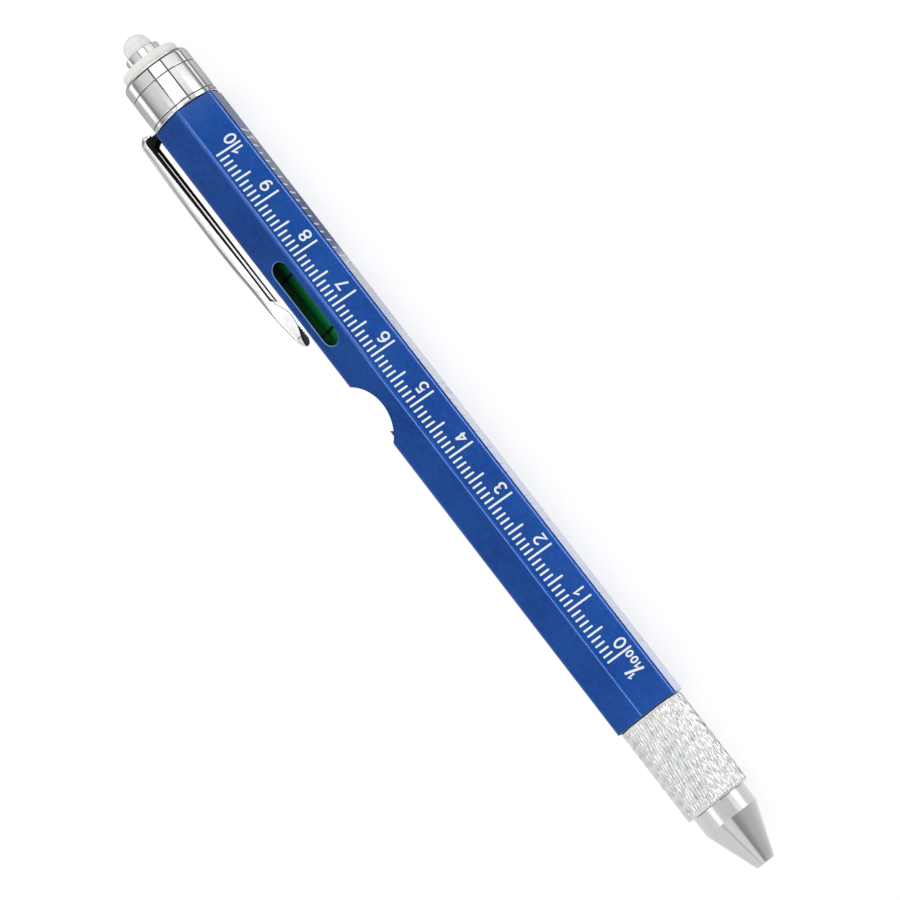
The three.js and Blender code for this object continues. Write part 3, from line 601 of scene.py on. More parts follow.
def thickened(bm: Shape, rise: Vector) -> Shape:
    """Gives every flat face of a mesh a thickness.

    Args:
        bm: Mesh of flat faces.
        rise: The thickness as a direction and length.

    Returns:
        The same mesh, closed.
    """
    grown = bmesh.ops.extrude_face_region(bm, geom=list(bm.faces))
    tops = [v for v in grown["geom"] if isinstance(v, bmesh.types.BMVert)]
    bmesh.ops.translate(bm, verts=tops, vec=rise)
    bmesh.ops.recalc_face_normals(bm, faces=bm.faces)
    return bm


def raised(outline: Outline, low: float, high: float) -> Shape:
    """A flat outline in X and Y given a height.

    Args:
        outline: Corners in order.
        low: Height of its underside.
        high: Height of its top.

    Returns:
        The closed solid.
    """
    bm = bmesh.new()
    bm.faces.new([bm.verts.new((x, y, low)) for x, y in outline])
    return thickened(bm, Vector((0, 0, high - low)))


def bar(radius: float, length: float, steps: int, place: Matrix) -> Shape:
    """A round bar about the Z axis of its place.

    Args:
        radius: Its radius.
        length: Its length.
        steps: Steps of a full turn.
        place: Where its middle lies and how it is turned.

    Returns:
        The closed solid.
    """
    bm = bmesh.new()
    bmesh.ops.create_cone(
        bm, cap_ends=True, segments=steps, radius1=radius, radius2=radius, depth=length, matrix=place,
    )
    return bm


def spun(profile: Outline, steps: int = ROUND_STEPS) -> Shape:
    """Turns a closed profile of place and radius about the pen's axis.

    Args:
        profile: Points of place along the pen and radius.
        steps: Steps of a full turn.

    Returns:
        The closed solid.
    """
    bm = bmesh.new()
    turns = [2 * math.pi * step / steps for step in range(steps)]
    rings = []
    for x, radius in profile:
        if radius < ON_AXIS:
            rings.append([bm.verts.new((x, 0.0, 0.0))] * steps)
        else:
            rings.append([bm.verts.new((x, radius * math.cos(a), radius * math.sin(a))) for a in turns])
    for a, b in zip(rings, [*rings[1:], rings[0]]):
        for number in range(steps):
            after = (number + 1) % steps
            corners = list(dict.fromkeys((a[number], b[number], b[after], a[after])))
            if len(corners) > 2:
                bm.faces.new(corners)
    bmesh.ops.recalc_face_normals(bm, faces=bm.faces)
    return bm


def bevelled(
    bm: Shape, edges: list[bmesh.types.BMEdge], width: float, steps: int, clamp: bool = False,
) -> list[bmesh.types.BMFace]:
    """Rounds or chamfers edges.

    Args:
        bm: Mesh to work on.
        edges: The edges.
        width: Width of the rounding.
        steps: Its steps, where one is a chamfer.
        clamp: Whether the width shrinks where there is no room.

    Returns:
        The new faces.
    """
    made = bmesh.ops.bevel(
        bm, geom=edges, offset=width, offset_type="OFFSET", segments=steps, profile=0.5,
        affect="EDGES", clamp_overlap=clamp, material=-1,
    )
    return made["faces"]


def soften(bm: Shape, width: float) -> Shape:
    """Rounds every sharp edge of a mesh.

    Args:
        bm: Mesh to work on.
        width: Width of the rounding.

    Returns:
        The same mesh.
    """
    limit = math.radians(SHARP_ANGLE)
    sharp = [e for e in bm.edges if len(e.link_faces) == 2 and e.calc_face_angle(0.0) > limit]
    bevelled(bm, sharp, width, 2, clamp=True)
    return bm


def stored(bm: Shape, name: str) -> bpy.types.Mesh:
    """Turns a shape, which is used up, into a mesh.

    Args:
        bm: The shape.
        name: Name of the mesh.

    Returns:
        The mesh.
    """
    mesh = bpy.data.meshes.new(name)
    bm.to_mesh(mesh)
    bm.free()
    return mesh


def placed(name: str, data: bpy.types.ID) -> bpy.types.Object:
    """Adds an object to the scene.

    Args:
        name: Name of the object.
        data: Its mesh, lamp or camera.

    Returns:
        The object.
    """
    made = bpy.data.objects.new(name, data)
    bpy.context.scene.collection.objects.link(made)
    return made


def merged(parts: Iterable[Shape]) -> Shape:
    """Joins several shapes, which are used up.

    Args:
        parts: The shapes.

    Returns:
        One shape with all of them.
    """
    whole = bmesh.new()
    for part in parts:
        mesh = stored(part, "part")
        whole.from_mesh(mesh)
        bpy.data.meshes.remove(mesh)
    return whole


def carved(blank: Shape, cutters: Iterable[Shape]) -> Shape:
    """Cuts shapes out of a blank. All of them are used up.

    Args:
        blank: The solid that is cut.
        cutters: The solids that are taken away.

    Returns:
        What is left of the blank.
    """
    made = [placed(f"cut_{n}", stored(part, f"cut_{n}")) for n, part in enumerate([blank, *cutters])]
    for cutter in made[1:]:
        cut = made[0].modifiers.new(cutter.name, "BOOLEAN")
        cut.operation, cut.solver, cut.object = "DIFFERENCE", "EXACT", cutter
    ready = made[0].evaluated_get(bpy.context.evaluated_depsgraph_get())
    result = bmesh.new()
    result.from_mesh(ready.to_mesh())
    ready.to_mesh_clear()
    for part in made:
        mesh = part.data
        bpy.data.objects.remove(part)
        bpy.data.meshes.remove(mesh)
    return result


def lofted(rings: list[list[Vector]]) -> Shape:
    """A closed skin drawn from one ring of points to the next, with a face at each end.

    Args:
        rings: Rings with the same number of points each.

    Returns:
        The closed solid, its faces in order: round each ring, ring after ring, then the two ends.
    """
    bm = bmesh.new()
    skin = [[bm.verts.new(point) for point in ring] for ring in rings]
    for a, b in zip(skin, skin[1:]):
        for number in range(len(a)):
            after = (number + 1) % len(a)
            bm.faces.new((a[number], b[number], b[after], a[after]))
    bm.faces.new(skin[0])
    bm.faces.new(list(reversed(skin[-1])))
    bmesh.ops.recalc_face_normals(bm, faces=bm.faces)
    return bm


def coil(span: Span, radius: float, wire: float, turns: float) -> Shape:
    """A wire coiled about the pen's axis.

    Args:
        span: Where the spring starts and ends.
        radius: Radius to the middle of the wire.
        wire: Thickness of the wire.
        turns: Number of turns.

    Returns:
        The spring with closed ends.
    """
    steps = int(turns * COIL_STEPS)
    advance = (span.length - wire) / steps
    bm = bmesh.new()
    place = Matrix.Translation((span.start + wire / 2, 0, radius)) @ Matrix.Rotation(QUARTER_TURN, 4, "X")
    ring = bmesh.ops.create_circle(
        bm, cap_ends=True, segments=WIRE_SIDES, radius=wire / 2, matrix=place,
    )
    edges = list({e for v in ring["verts"] for e in v.link_edges})
    bmesh.ops.spin(
        bm, geom=[*bm.faces, *edges, *ring["verts"]], cent=(0, 0, 0), axis=(1, 0, 0), dvec=(advance, 0, 0),
        angle=2 * math.pi * turns, steps=steps,
    )
    bmesh.ops.recalc_face_normals(bm, faces=bm.faces)
    return bm


def turned_to(bm: Shape, matrix: Matrix) -> Shape:
    """Moves a whole mesh and returns it."""
    bmesh.ops.transform(bm, matrix=matrix, verts=bm.verts)
    return bm


@dataclass(frozen=True)
class Piece:
    """A finished piece of the pen: where it rides, what it stands for and how it is finished."""

    name: str
    body: Body
    finish: Finish
    stands_for: tuple[str, ...] = ()
    crease: float = SHARP_ANGLE
    more: tuple[Finish, ...] = ()

    def make(self, bm: Shape) -> bpy.types.Object:
        """Turns a shape in millimetres about the pen's axis into a piece in the pen's frame.

        Args:
            bm: The shape, which is used up.

        Returns:
            The piece's object.
        """
        limit = math.radians(self.crease)
        for face in bm.faces:
            face.smooth = True
        for edge in bm.edges:
            edge.smooth = len(edge.link_faces) == 2 and edge.calc_face_angle(0.0) < limit
        turned_to(bm, Matrix.Translation((0, 0, Pen.AXIS_HEIGHT * MM)) @ Matrix.Scale(MM, 4))
        piece = placed(self.name, stored(bm, self.name))
        for finish in (self.finish, *self.more):
            piece.data.materials.append(finish.material())
        piece.modifiers.new("Even normals", "WEIGHTED_NORMAL").keep_sharp = True
        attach(piece, self.body.value)
        if self.stands_for:
            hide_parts(*self.stands_for)
        log.info("%s: %d faces", self.name, len(piece.data.polygons))
        return piece


# Sub-assemblies


@dataclass
class Pen:
    """Sizes that several sub-assemblies share."""

    AXIS_HEIGHT = 5.7
    BORE_RADIUS = 4.2
    SEAT_RADIUS = 3.95
    CUT_MARGIN = 2.0

    notch_depth: float = 2.9
    notch_radius: float = 7.0
    notch_middle: float = 53.2
    notch_cut: float = 18.0
    notch_steps: int = 240

    def notch_cutter(self) -> Shape:
        """Round cutter of the opener notch, across the clip's flat.

        Returns:
            The cutter.
        """
        height = self.AXIS_HEIGHT - self.notch_depth + self.notch_radius
        place = Flat.CLIP.turn() @ Matrix.Translation((self.notch_middle, 0, height))
        place @= Matrix.Rotation(QUARTER_TURN, 4, "X")
        return bar(self.notch_radius, self.notch_cut, self.notch_steps, place)


class BarrelSkin(IntEnum):
    """Parts of the barrel's skin, numbered as its finishes."""

    PAINT = 0
    BORE = 1
    WINDOW_WALL = 2
    WORN_EDGE = 3


@dataclass
class Barrel:
    """Painted six-sided tube with its window, its notch and its edges."""

    pen: Pen
    corner_radius: float = 0.9
    window_length: float = 16.0
    window_width: float = 3.4
    edge: float = 0.13
    rim: float = 0.1
    near: float = 0.01
    bore_steps: int = 96
    corner_steps: int = 8
    window_steps: int = 24

    def blank(self, span: Span) -> Shape:
        """Solid hexagon bar with rounded long edges.

        Args:
            span: Where the barrel starts and ends.

        Returns:
            The closed solid.
        """
        bm = bmesh.new()
        corner = Pen.AXIS_HEIGHT / math.cos(math.pi / 6)
        place = Matrix.Translation((span.start, 0, 0)) @ Matrix.Rotation(QUARTER_TURN, 4, "Y")
        bmesh.ops.create_circle(bm, cap_ends=True, segments=6, radius=corner, matrix=place)
        thickened(bm, Vector((span.length, 0, 0)))
        long_edges = [e for e in bm.edges if abs(e.verts[0].co.x - e.verts[1].co.x) > 1]
        bevelled(bm, long_edges, self.corner_radius * math.tan(math.pi / 6), self.corner_steps)
        return bm

    def window_cutter(self) -> Shape:
        """Round-ended slot over the level vial.

        Returns:
            The cutter.
        """
        middle = Span.of("level_vial").middle
        half = (self.window_length - self.window_width) / 2
        reach = (self.window_width / 2, self.window_width / 2)
        front = arc((middle + half, 0), reach, -90, 90, self.window_steps)
        rear = arc((middle - half, 0), reach, 90, 270, self.window_steps)
        return raised(front + rear, 0, Pen.AXIS_HEIGHT + Pen.CUT_MARGIN)

    def bore(self, span: Span) -> Shape:
        """Cutter of the round bore through the whole barrel."""
        place = Matrix.Translation((span.middle, 0, 0)) @ Matrix.Rotation(QUARTER_TURN, 4, "Y")
        return bar(Pen.BORE_RADIUS, span.length + 2 * Pen.CUT_MARGIN, self.bore_steps, place)

    def build(self) -> None:
        """Makes the painted barrel."""
        span = Span.of("barrel")
        cutters = [
            self.bore(span), self.window_cutter(), self.pen.notch_cutter(), OpenerTooth(self.pen).slot(),
        ]
        shape = carved(self.blank(span), cutters)
        bmesh.ops.remove_doubles(shape, verts=shape.verts, dist=1e-4)
        bmesh.ops.dissolve_limit(shape, angle_limit=math.radians(0.5), verts=shape.verts, edges=shape.edges)
        self.shade_inside(shape)
        rim = [edge for edge in shape.edges if all(self.on_window_edge(vert.co) for vert in edge.verts)]
        ends = [edge for edge in shape.edges if all(self.on_end_edge(vert.co, span) for vert in edge.verts)]
        # The window's rim gets the painted highlight.
        for face in bevelled(shape, rim, self.rim, 1):
            face.material_index = BarrelSkin.WORN_EDGE
        for face in bevelled(shape, ends, self.edge, 2):
            face.material_index = BarrelSkin.PAINT
        more = (Finishes.BORE, Finishes.WINDOW_WALL, Finishes.WORN_EDGE)
        Piece("pen_barrel", Body.BARREL, Finishes.BLUE_PAINT, ("barrel",), 32, more).make(shape)

    def off_window(self, place: Vector) -> float:
        """How far a place lies outside the window's outline.

        Args:
            place: The place.

        Returns:
            The distance, below 0 inside the outline.
        """
        run = (self.window_length - self.window_width) / 2
        off_middle = max(abs(place.x - Span.of("level_vial").middle) - run, 0.0)
        return math.hypot(off_middle, place.y) - self.window_width / 2

    def on_window_edge(self, place: Vector) -> bool:
        """Whether a corner lies on the window's outer edge."""
        return abs(self.off_window(place)) < self.near and place.z > Pen.AXIS_HEIGHT - self.near

    def on_end_edge(self, place: Vector, span: Span) -> bool:
        """Whether a corner lies on the outline of one of the barrel's ends."""
        at_end = min(abs(place.x - span.start), abs(place.x - span.end)) < self.near
        return at_end and math.hypot(place.y, place.z) > Pen.BORE_RADIUS + 0.5

    def shade_inside(self, shape: Shape) -> None:
        """Gives the bore its near-black painted shade and the walls of the window their painted green glow.

        Args:
            shape: The cut barrel.
        """
        for face in shape.faces:
            place = face.calc_center_median()
            if math.hypot(place.y, place.z) < Pen.BORE_RADIUS + 2 * self.near:
                face.material_index = BarrelSkin.BORE
            elif place.z > Pen.BORE_RADIUS / 2 and self.off_window(place) < self.near:
                face.material_index = BarrelSkin.WINDOW_WALL


@dataclass
class OpenerTooth:
    """Small steel tooth at the low end of the notch."""

    pen: Pen
    width: float = 3.2
    thickness: float = 1.05
    reach: float = 2.2
    root: float = 2.6
    setback: float = 0.56
    clearance: float = 0.25
    edge: float = 0.08

    def outline(self, gap: float) -> Outline:
        """Side outline of the tooth.

        Args:
            gap: Clearance all round it.

        Returns:
            Its corners.
        """
        top = Pen.AXIS_HEIGHT - self.setback + gap
        bottom = top - self.thickness - 2 * gap
        depth, radius = self.pen.notch_depth, self.pen.notch_radius
        lip = self.pen.notch_middle - math.sqrt(depth * (2 * radius - depth))
        start, point = lip - self.root - gap, lip + self.reach + gap
        under = point - self.thickness
        return [(start, bottom), (under, bottom), (point, top - gap), (point, top), (start, top)]

    def solid(self, gap: float) -> Shape:
        """The tooth as a solid on the clip's flat.

        Args:
            gap: Clearance all round it.

        Returns:
            The closed solid.
        """
        half = self.width / 2 + gap
        upright = Flat.CLIP.turn() @ Matrix.Rotation(QUARTER_TURN, 4, "X")
        return turned_to(raised(self.outline(gap), -half, half), upright)

    def slot(self) -> Shape:
        """Cutter of the slot that the tooth stands in."""
        return self.solid(self.clearance)

    def build(self) -> None:
        """Makes the tooth and the block that holds it."""
        tooth = soften(self.solid(0.0), self.edge)
        Piece("tooth", Body.BARREL, Finishes.DARK_STEEL, ("opener_tooth",)).make(tooth)
        rod = spun(band(Span.of("opener_block"), 0, Pen.SEAT_RADIUS))
        block = carved(rod, [self.pen.notch_cutter(), self.slot()])
        Piece("steel_block", Body.BARREL, Finishes.DARK_STEEL, ("opener_block",)).make(block)


@dataclass(frozen=True)
class Numeral:
    """A plain digit drawn with strokes in a unit box."""

    digit: str

    def strokes(self) -> list[tuple[Outline, bool]]:
        """Middle lines of the strokes.

        Returns:
            Each stroke's points, and whether it is a loop.
        """
        six = [
            (arc((0.5, 0.31), (0.5, 0.31), 0, 360, 20), True),
            (arc((0.56, 0.4), (0.56, 0.6), 62, 172, 12), False),
        ]
        three = arc((0.46, 0.755), (0.42, 0.245), 155, -80, 12)
        three += arc((0.48, 0.265), (0.52, 0.265), 80, -155, 14)
        five = [(0.9, 1), (0.2, 1), (0.13, 0.52), *arc((0.48, 0.33), (0.52, 0.33), 118, -150, 14)]
        top = arc((0.5, 0.765), (0.42, 0.235), 0, 360, 18)
        drawn = {
            "0": [(arc((0.5, 0.5), (0.5, 0.5), 0, 360, 24), True)],
            "1": [([(0, 0.7), (1, 1), (1, 0)], False)],
            "2": [([*arc((0.5, 0.72), (0.47, 0.28), 160, -35, 12), (0.02, 0), (1, 0)], False)],
            "3": [(three, False)],
            "4": [([(0.74, 0), (0.74, 0.97)], False), ([(0.74, 0.97), (0.03, 0.27), (1, 0.27)], False)],
            "5": [(five, False)],
            "6": six,
            "7": [([(0, 1), (1, 1), (0.35, 0)], False)],
            "8": [(top, True), (arc((0.5, 0.265), (0.5, 0.265), 0, 360, 20), True)],
            "9": [([(1 - x, 1 - y) for x, y in path], closed) for path, closed in six],
            "/": [([(0, 0), (1, 1)], False)],
        }
        return drawn[self.digit]


@dataclass(frozen=True)
class PrintLine:
    """Foot, height and digit width of a printed line."""

    foot: float
    height: float
    width: float


@dataclass
class Scale:
    """White print: a centimetre scale on one flat and an inch scale on the next."""

    line_start: float = 2.61
    line_width: float = 0.33
    line_corner: float = 0.09
    film: float = 0.02
    digits: PrintLine = PrintLine(-2.12, 2.24, 1.5)
    shifts: tuple[float, ...] = (0.62, 0.88, 0.81, 0.82, 0.79, 0.69, 0.65, 1.12, 0.91, 1.0)
    ends: tuple[tuple[str, float, PrintLine], ...] = (
        ("1", 98.4, digits),
        ("0", 100.42, digits),
        ("1", -4.25, PrintLine(0.05, 1.45, 1.0)),
        ("/", -4.0, PrintLine(-1.92, 3.6, 1.3)),
        ("1", -3.38, PrintLine(-1.92, 1.45, 0.95)),
        ("00", -2.5, PrintLine(-1.92, 1.45, 0.98)),
    )
    stroke: float = 0.34
    one_share: float = 0.55
    inch: float = 25.4
    inch_parts: int = 16
    centimetre_lengths: Stops = ((10, 4.76), (5, 2.99), (1, 1.82))
    inch_lengths: Stops = ((16, 4.6), (8, 3.4), (2, 2.8), (1, 2.2))

    def lines(self, bm: Shape, count: int, pitch: float, lengths: Stops) -> None:
        """Draws the lines of a scale, standing in from the flat's far edge.

        Args:
            bm: Mesh of the print.
            count: Number of steps.
            pitch: Distance between two lines.
            lengths: Pairs of step and length, where the first step that divides a line's number holds.
        """
        half, nook, high = self.line_width / 2, self.line_corner, self.line_start
        for step in range(count + 1):
            x, low = step * pitch, high - next(length for every, length in lengths if step % every == 0)
            outline = [
                (x - half, low + nook), (x - half + nook, low),
                (x + half - nook, low), (x + half, low + nook),
                (x + half, high - nook), (x + half - nook, high),
                (x - half + nook, high), (x - half, high - nook),
            ]
            bm.faces.new([bm.verts.new((*point, Pen.AXIS_HEIGHT - self.film)) for point in outline])

    def number(self, bm: Shape, digits: str, left: float, line: PrintLine) -> None:
        """Draws a number.

        Args:
            bm: Mesh of the print.
            digits: The digits.
            left: Place of the first digit's left side along the pen.
            line: Foot, height and width of the digits.
        """
        weight = self.stroke * (line.height / self.digits.height) ** 0.4
        tall = line.height - weight
        for digit in digits:
            wide = (line.width - weight) * (self.one_share if digit == "1" else 1)
            for order, (path, closed) in enumerate(Numeral(digit).strokes()):
                run = [(left + weight / 2 + x * wide, line.foot + weight / 2 + y * tall) for x, y in path]
                ribbon(bm, run, weight, Pen.AXIS_HEIGHT - self.film * (1 - order / 4), closed)
            left += wide + weight + line.width * 0.2

    def centimetres(self, bm: Shape) -> None:
        """Draws the 0 to 10 centimetre scale and the fraction beside its zero.

        Args:
            bm: Mesh of the print.
        """
        self.lines(bm, 100, 1.0, self.centimetre_lengths)
        for number, shift in enumerate(self.shifts):
            self.number(bm, str(number), number * 10 + shift, self.digits)
        for digits, left, line in self.ends:
            self.number(bm, digits, left, line)

    def inches(self, bm: Shape) -> None:
        """Draws the 0 to 4 inch scale, down to sixteenths.

        Args:
            bm: Mesh of the print.
        """
        self.lines(bm, 4 * self.inch_parts, self.inch / self.inch_parts, self.inch_lengths)
        for number in range(1, 5):
            left = number * self.inch - self.shifts[number] - self.digits.width
            self.number(bm, str(number), left, self.digits)

    def build(self) -> None:
        """Prints both scales."""
        for name, flat, draw in (
            ("print_centimetres", Flat.CENTIMETRE, self.centimetres),
            ("print_inches", Flat.INCH, self.inches),
        ):
            bm = bmesh.new()
            draw(bm)
            thickened(bm, Vector((0, 0, 2 * self.film)))
            Piece(name, Body.BARREL, Finishes.WHITE_INK).make(turned_to(bm, flat.turn()))


@dataclass
class Level:
    """Spirit level behind the window: vial, lines, fluid and bubble."""

    wall: float = 1.2
    edge: float = 0.1
    line_depth: float = 0.2
    line_spacing: float = 10.6
    line_width: float = 0.5
    plug: float = 1.8
    line_rise: float = 0.02
    plug_gap: float = 0.12
    wetting: float = 0.02
    bubble_radius: float = 0.95
    bubble_height: float = 1.5

    def build(self) -> None:
        """Makes the vial and what is in it."""
        span = Span.of("level_vial")
        outer, inner = Pen.SEAT_RADIUS, Pen.SEAT_RADIUS - self.wall
        vial = soften(spun(band(span, inner, outer)), self.edge)
        Piece("vial", Body.BARREL, Finishes.ACRYLIC, ("level_vial",)).make(vial)
        for name, side in (("front", -1), ("rear", 1)):
            x, top = span.middle + side * self.line_spacing / 2, outer + self.line_rise
            run = Span(x - self.line_width / 2, x + self.line_width / 2)
            ring = spun(band(run, top - self.line_depth, top))
            Piece(f"vial_line_{name}", Body.BARREL, Finishes.BLACK_LINE, (f"level_line_{name}",)).make(ring)
        wet = Span(span.start + self.plug + self.plug_gap, span.end - self.plug - self.plug_gap)
        fluid = spun(band(wet, 0, inner + self.wetting))
        Piece("fluid", Body.BARREL, Finishes.GREEN_FLUID, ("level_fluid",)).make(fluid)
        self.bubble(Span.of("level_bubble"))

    def bubble(self, span: Span) -> None:
        """Makes the air bubble, long and round-ended.

        Args:
            span: Where it starts and ends.
        """
        r = self.bubble_radius
        profile = arc((span.start + r, 0), (r, r), 180, 90, 16) + arc((span.end - r, 0), (r, r), 90, 0, 16)
        shape = turned_to(spun(profile, SMALL_STEPS), Matrix.Translation((0, 0, self.bubble_height)))
        Piece("air_bubble", Body.BUBBLE, Finishes.AIR, ("level_bubble",)).make(shape)


class Skin(Enum):
    """Parts of the clip's skin, told apart round its section."""

    TOP = "top"
    SIDE = "side"
    HEM = "hem"
    EDGE = "edge"
    INSIDE = "inside"
    LEDGE = "ledge"


class ClipFinish(IntEnum):
    """The clip's finishes, in their order on the piece: polished chrome, painted shade and a painted
    reflection.
    """

    POLISHED = 0
    IN_SHADE = 1
    MIRRORS_FLOOR = 2


@dataclass(frozen=True)
class Corner:
    """A corner of a section: its place, how far its rounding reaches back and on, and the skin after it."""

    y: float
    z: float
    skin: Skin
    back: float = 0.0
    on: float = 0.0
    steps: int = 0
    rounding: Skin = Skin.TOP

    def points(self, before: "Corner", after: "Corner") -> list[tuple[Point, Skin]]:
        """Points of the corner with the skin that follows each.

        Args:
            before: Corner before it.
            after: Corner after it.

        Returns:
            Pairs of point and skin.
        """
        if not self.steps:
            return [((self.y, self.z), self.skin)]
        here = Vector((self.y, self.z))
        start = here + (Vector((before.y, before.z)) - here).normalized() * self.back
        end = here + (Vector((after.y, after.z)) - here).normalized() * self.on
        skins = [self.rounding] * self.steps + [self.skin]
        return list(zip(rounded(start, here, end, self.steps), skins))


@dataclass
class Clip:
    """Sheet metal clip: a trough with turned-down sides that ends in a boat-shaped foot."""

    length: float = 42.2
    height: float = 3.82
    half_width: float = 1.95
    sheet: float = 0.5
    bends: Point = (1.2, 0.5)
    bend_change: Point = (0.68, 0.86)
    hems: Point = (0.62, 0.22)
    hem_share: float = 0.64
    hem_depth: float = 0.2
    ledges: tuple[tuple[Point, float], ...] = (((0.54, 0.08), 0.4), ((0.64, 0.64), 0.6))
    roof_gap: float = 0.06
    tip_round: float = 0.55
    tip_length: float = 1.6
    tip_power: float = 2.6
    tip_share: float = 0.922
    tip_slant: float = 0.05
    back_bend: float = 1.6
    rim: float = 0.66
    gusset: Point = (2.3, 1.3)
    gusset_height: float = 0.3
    edge_share: float = 0.445
    trough_share: float = 0.79
    lug: float = 0.85
    lug_root: float = 6.58
    lug_slope: float = 2.2
    ring_radius: float = 6.05
    ring_bore: float = 4.2
    root_low: float = 4.6
    root_rise: float = 0.5
    root_shade: float = 0.4
    ring_lead: float = 0.1
    ring_easing: float = 0.12
    bend_room: float = 0.97
    least: float = 0.01
    top_line: Stops = (
        (0.041, 0.9), (0.214, 0.971), (0.439, 1.0), (0.593, 0.974), (0.744, 0.89), (0.856, 0.81),
        (0.931, 0.725), (0.975, 0.66), (1.0, 0.61),
    )
    foot_line: Stops = (
        (0.77, 0.445), (0.792, 0.43), (0.815, 0.34), (0.845, 0.205), (0.88, 0.145), (0.928, 0.19),
        (0.972, 0.34), (1.0, 0.43),
    )

    @property
    def back(self) -> float:
        """Place of the clip's rear along the pen."""
        return Span.of("clip_arm").end

    @property
    def bend_start(self) -> float:
        """Place along the pen where the bend at the rear starts."""
        return self.back - self.back_bend

    @property
    def bend_centre(self) -> float:
        """Height of the centre of the bend at the rear."""
        return Pen.AXIS_HEIGHT + self.top_line[0][1] * self.height - self.back_bend

    @staticmethod
    def along(line: Stops, share: float) -> float:
        """Smooth height share of a line at a share of the clip's length.

        Args:
            line: Pairs of length share and height share, in order.
            share: Where it is read.

        Returns:
            The height share there.
        """
        if share <= line[0][0]:
            return line[0][1]
        slopes = [(b[1] - a[1]) / (b[0] - a[0]) for a, b in zip(line, line[1:])]
        knots = [slopes[0], *[(a + b) / 2 for a, b in zip(slopes, slopes[1:])], slopes[-1]]
        for number, (a, b) in enumerate(zip(line, line[1:])):
            if share <= b[0]:
                run = b[0] - a[0]
                t = (share - a[0]) / run
                leave, arrive = t**3 - 2 * t**2 + t, t**3 - t**2
                height = mixed((a[1], b[1]), 3 * t**2 - 2 * t**3)
                return height + run * (leave * knots[number] + arrive * knots[number + 1])
        return line[-1][1]

    @staticmethod
    def eased_step(value: float, start: float, end: float) -> float:
        """Smooth step from 0 at the start to 1 at the end."""
        t = min(max((value - start) / (end - start), 0.0), 1.0)
        return t * t * (3 - 2 * t)

    def heights(self, x: float) -> Point:
        """Heights of the section's lower edge and of its top at a place along the pen.

        Args:
            x: Place along the pen.

        Returns:
            Lower edge and top, on the top flat.
        """
        share = (self.back - x) / self.length
        flat = Pen.AXIS_HEIGHT
        top = flat + self.along(self.top_line, share) * self.height
        if x > self.bend_start:
            rise = max(self.back_bend**2 - (x - self.bend_start) ** 2, self.least)
            top = self.bend_centre + math.sqrt(rise)
        low = flat + self.edge_share * self.height
        if share > self.foot_line[0][0]:
            low = flat + self.along(self.foot_line, share) * self.height
        ring = Span.of("clip_ring")
        if x > ring.start - self.ring_lead:
            return self.lug_root + max(0.0, x - ring.end) * self.lug_slope, top
        fall = self.eased_step(x, self.back - self.gusset[0], self.back - self.gusset[1])
        return mixed((low, flat + self.gusset_height), fall), top

    def shade_line(self, x: float, low: float, top: float) -> float:
        """Height where the hem's rounding ends, under which the side gets painted shade.

        Args:
            x: Place along the pen.
            low: Height of the lower edge there.
            top: Height of the top there.

        Returns:
            The height on the top flat.
        """
        share = (self.back - x) / self.length
        hem = mixed(self.hems, min(share / self.hem_share, 1.0))
        if share > self.trough_share:
            hem *= 0.5 + 0.5 * self.eased_step(share, self.tip_share, self.tip_share + self.tip_slant)
        if share * self.length < self.gusset[0]:
            edge = Pen.AXIS_HEIGHT + self.edge_share * self.height + hem
            turn = min(max((x - self.bend_start) / (self.back_bend - self.rim), 0.0), 1.0)
            return min(mixed((self.bend_centre, edge), math.sqrt(1 - turn * turn)), top - 0.03)
        return min(low + hem, low + (top - low) * 0.4)

    def section(self, x: float) -> list[tuple[Point, Skin]]:
        """The clip's section at a place along the pen.

        Args:
            x: Place along the pen.

        Returns:
            Its points on the top flat, each with the skin that follows it.
        """
        share = (self.back - x) / self.length
        low, top = self.heights(x)
        solid = x > self.back - self.lug
        hollow = 0.0 if solid else self.eased_step(self.trough_share - share, 0.0, 0.02)
        half = self.half_width
        to_tip = (1 - share) * self.length
        if to_tip < self.tip_length:
            half *= math.sqrt(max(1 - (1 - to_tip / self.tip_length) ** self.tip_power, self.least))
        if to_tip < self.tip_round:
            middle = (top + low) / 2
            closing = math.sqrt(max(1 - (1 - to_tip / self.tip_round) ** 2, self.least))
            top, low = mixed((middle, top), closing), mixed((middle, low), closing)
        roof = low + self.roof_gap + hollow * max(top - self.sheet - low, 0.0)
        shade = self.shade_line(x, low, top)
        inner = half - min(self.sheet, half * 0.4)
        bend = mixed(self.bends, self.eased_step(share, *self.bend_change))
        bend = min(bend, (top - shade) * self.bend_room, half * 0.8)
        hem = min(self.hem_depth, (half - inner) * 0.7)
        rise = (shade - low) * self.bend_room
        ledge = [low + min(mixed(size, share), (roof - low) * part) for size, part in self.ledges]
        corners = [
            Corner(half, low, Skin.HEM, hem, rise, 8, Skin.HEM),
            Corner(half, shade, Skin.SIDE),
            Corner(half, top, Skin.TOP, bend, bend, 12, Skin.TOP),
            Corner(-half, top, Skin.SIDE, bend, bend, 12, Skin.TOP),
            Corner(-half, shade, Skin.HEM),
            Corner(-half, low, Skin.EDGE, rise, hem, 8, Skin.HEM),
            Corner(-inner, low, Skin.INSIDE),
            Corner(-inner, ledge[0], Skin.LEDGE),
            Corner(-inner, ledge[1], Skin.INSIDE),
            *[Corner(inner * part, roof, Skin.INSIDE) for part in (-1, -0.5, 0, 0.5, 1)],
            Corner(inner, ledge[1], Skin.LEDGE),
            Corner(inner, ledge[0], Skin.INSIDE),
            Corner(inner, low, Skin.EDGE),
        ]
        found = []
        for number, corner in enumerate(corners):
            found += corner.points(corners[number - 1], corners[(number + 1) % len(corners)])
        return found

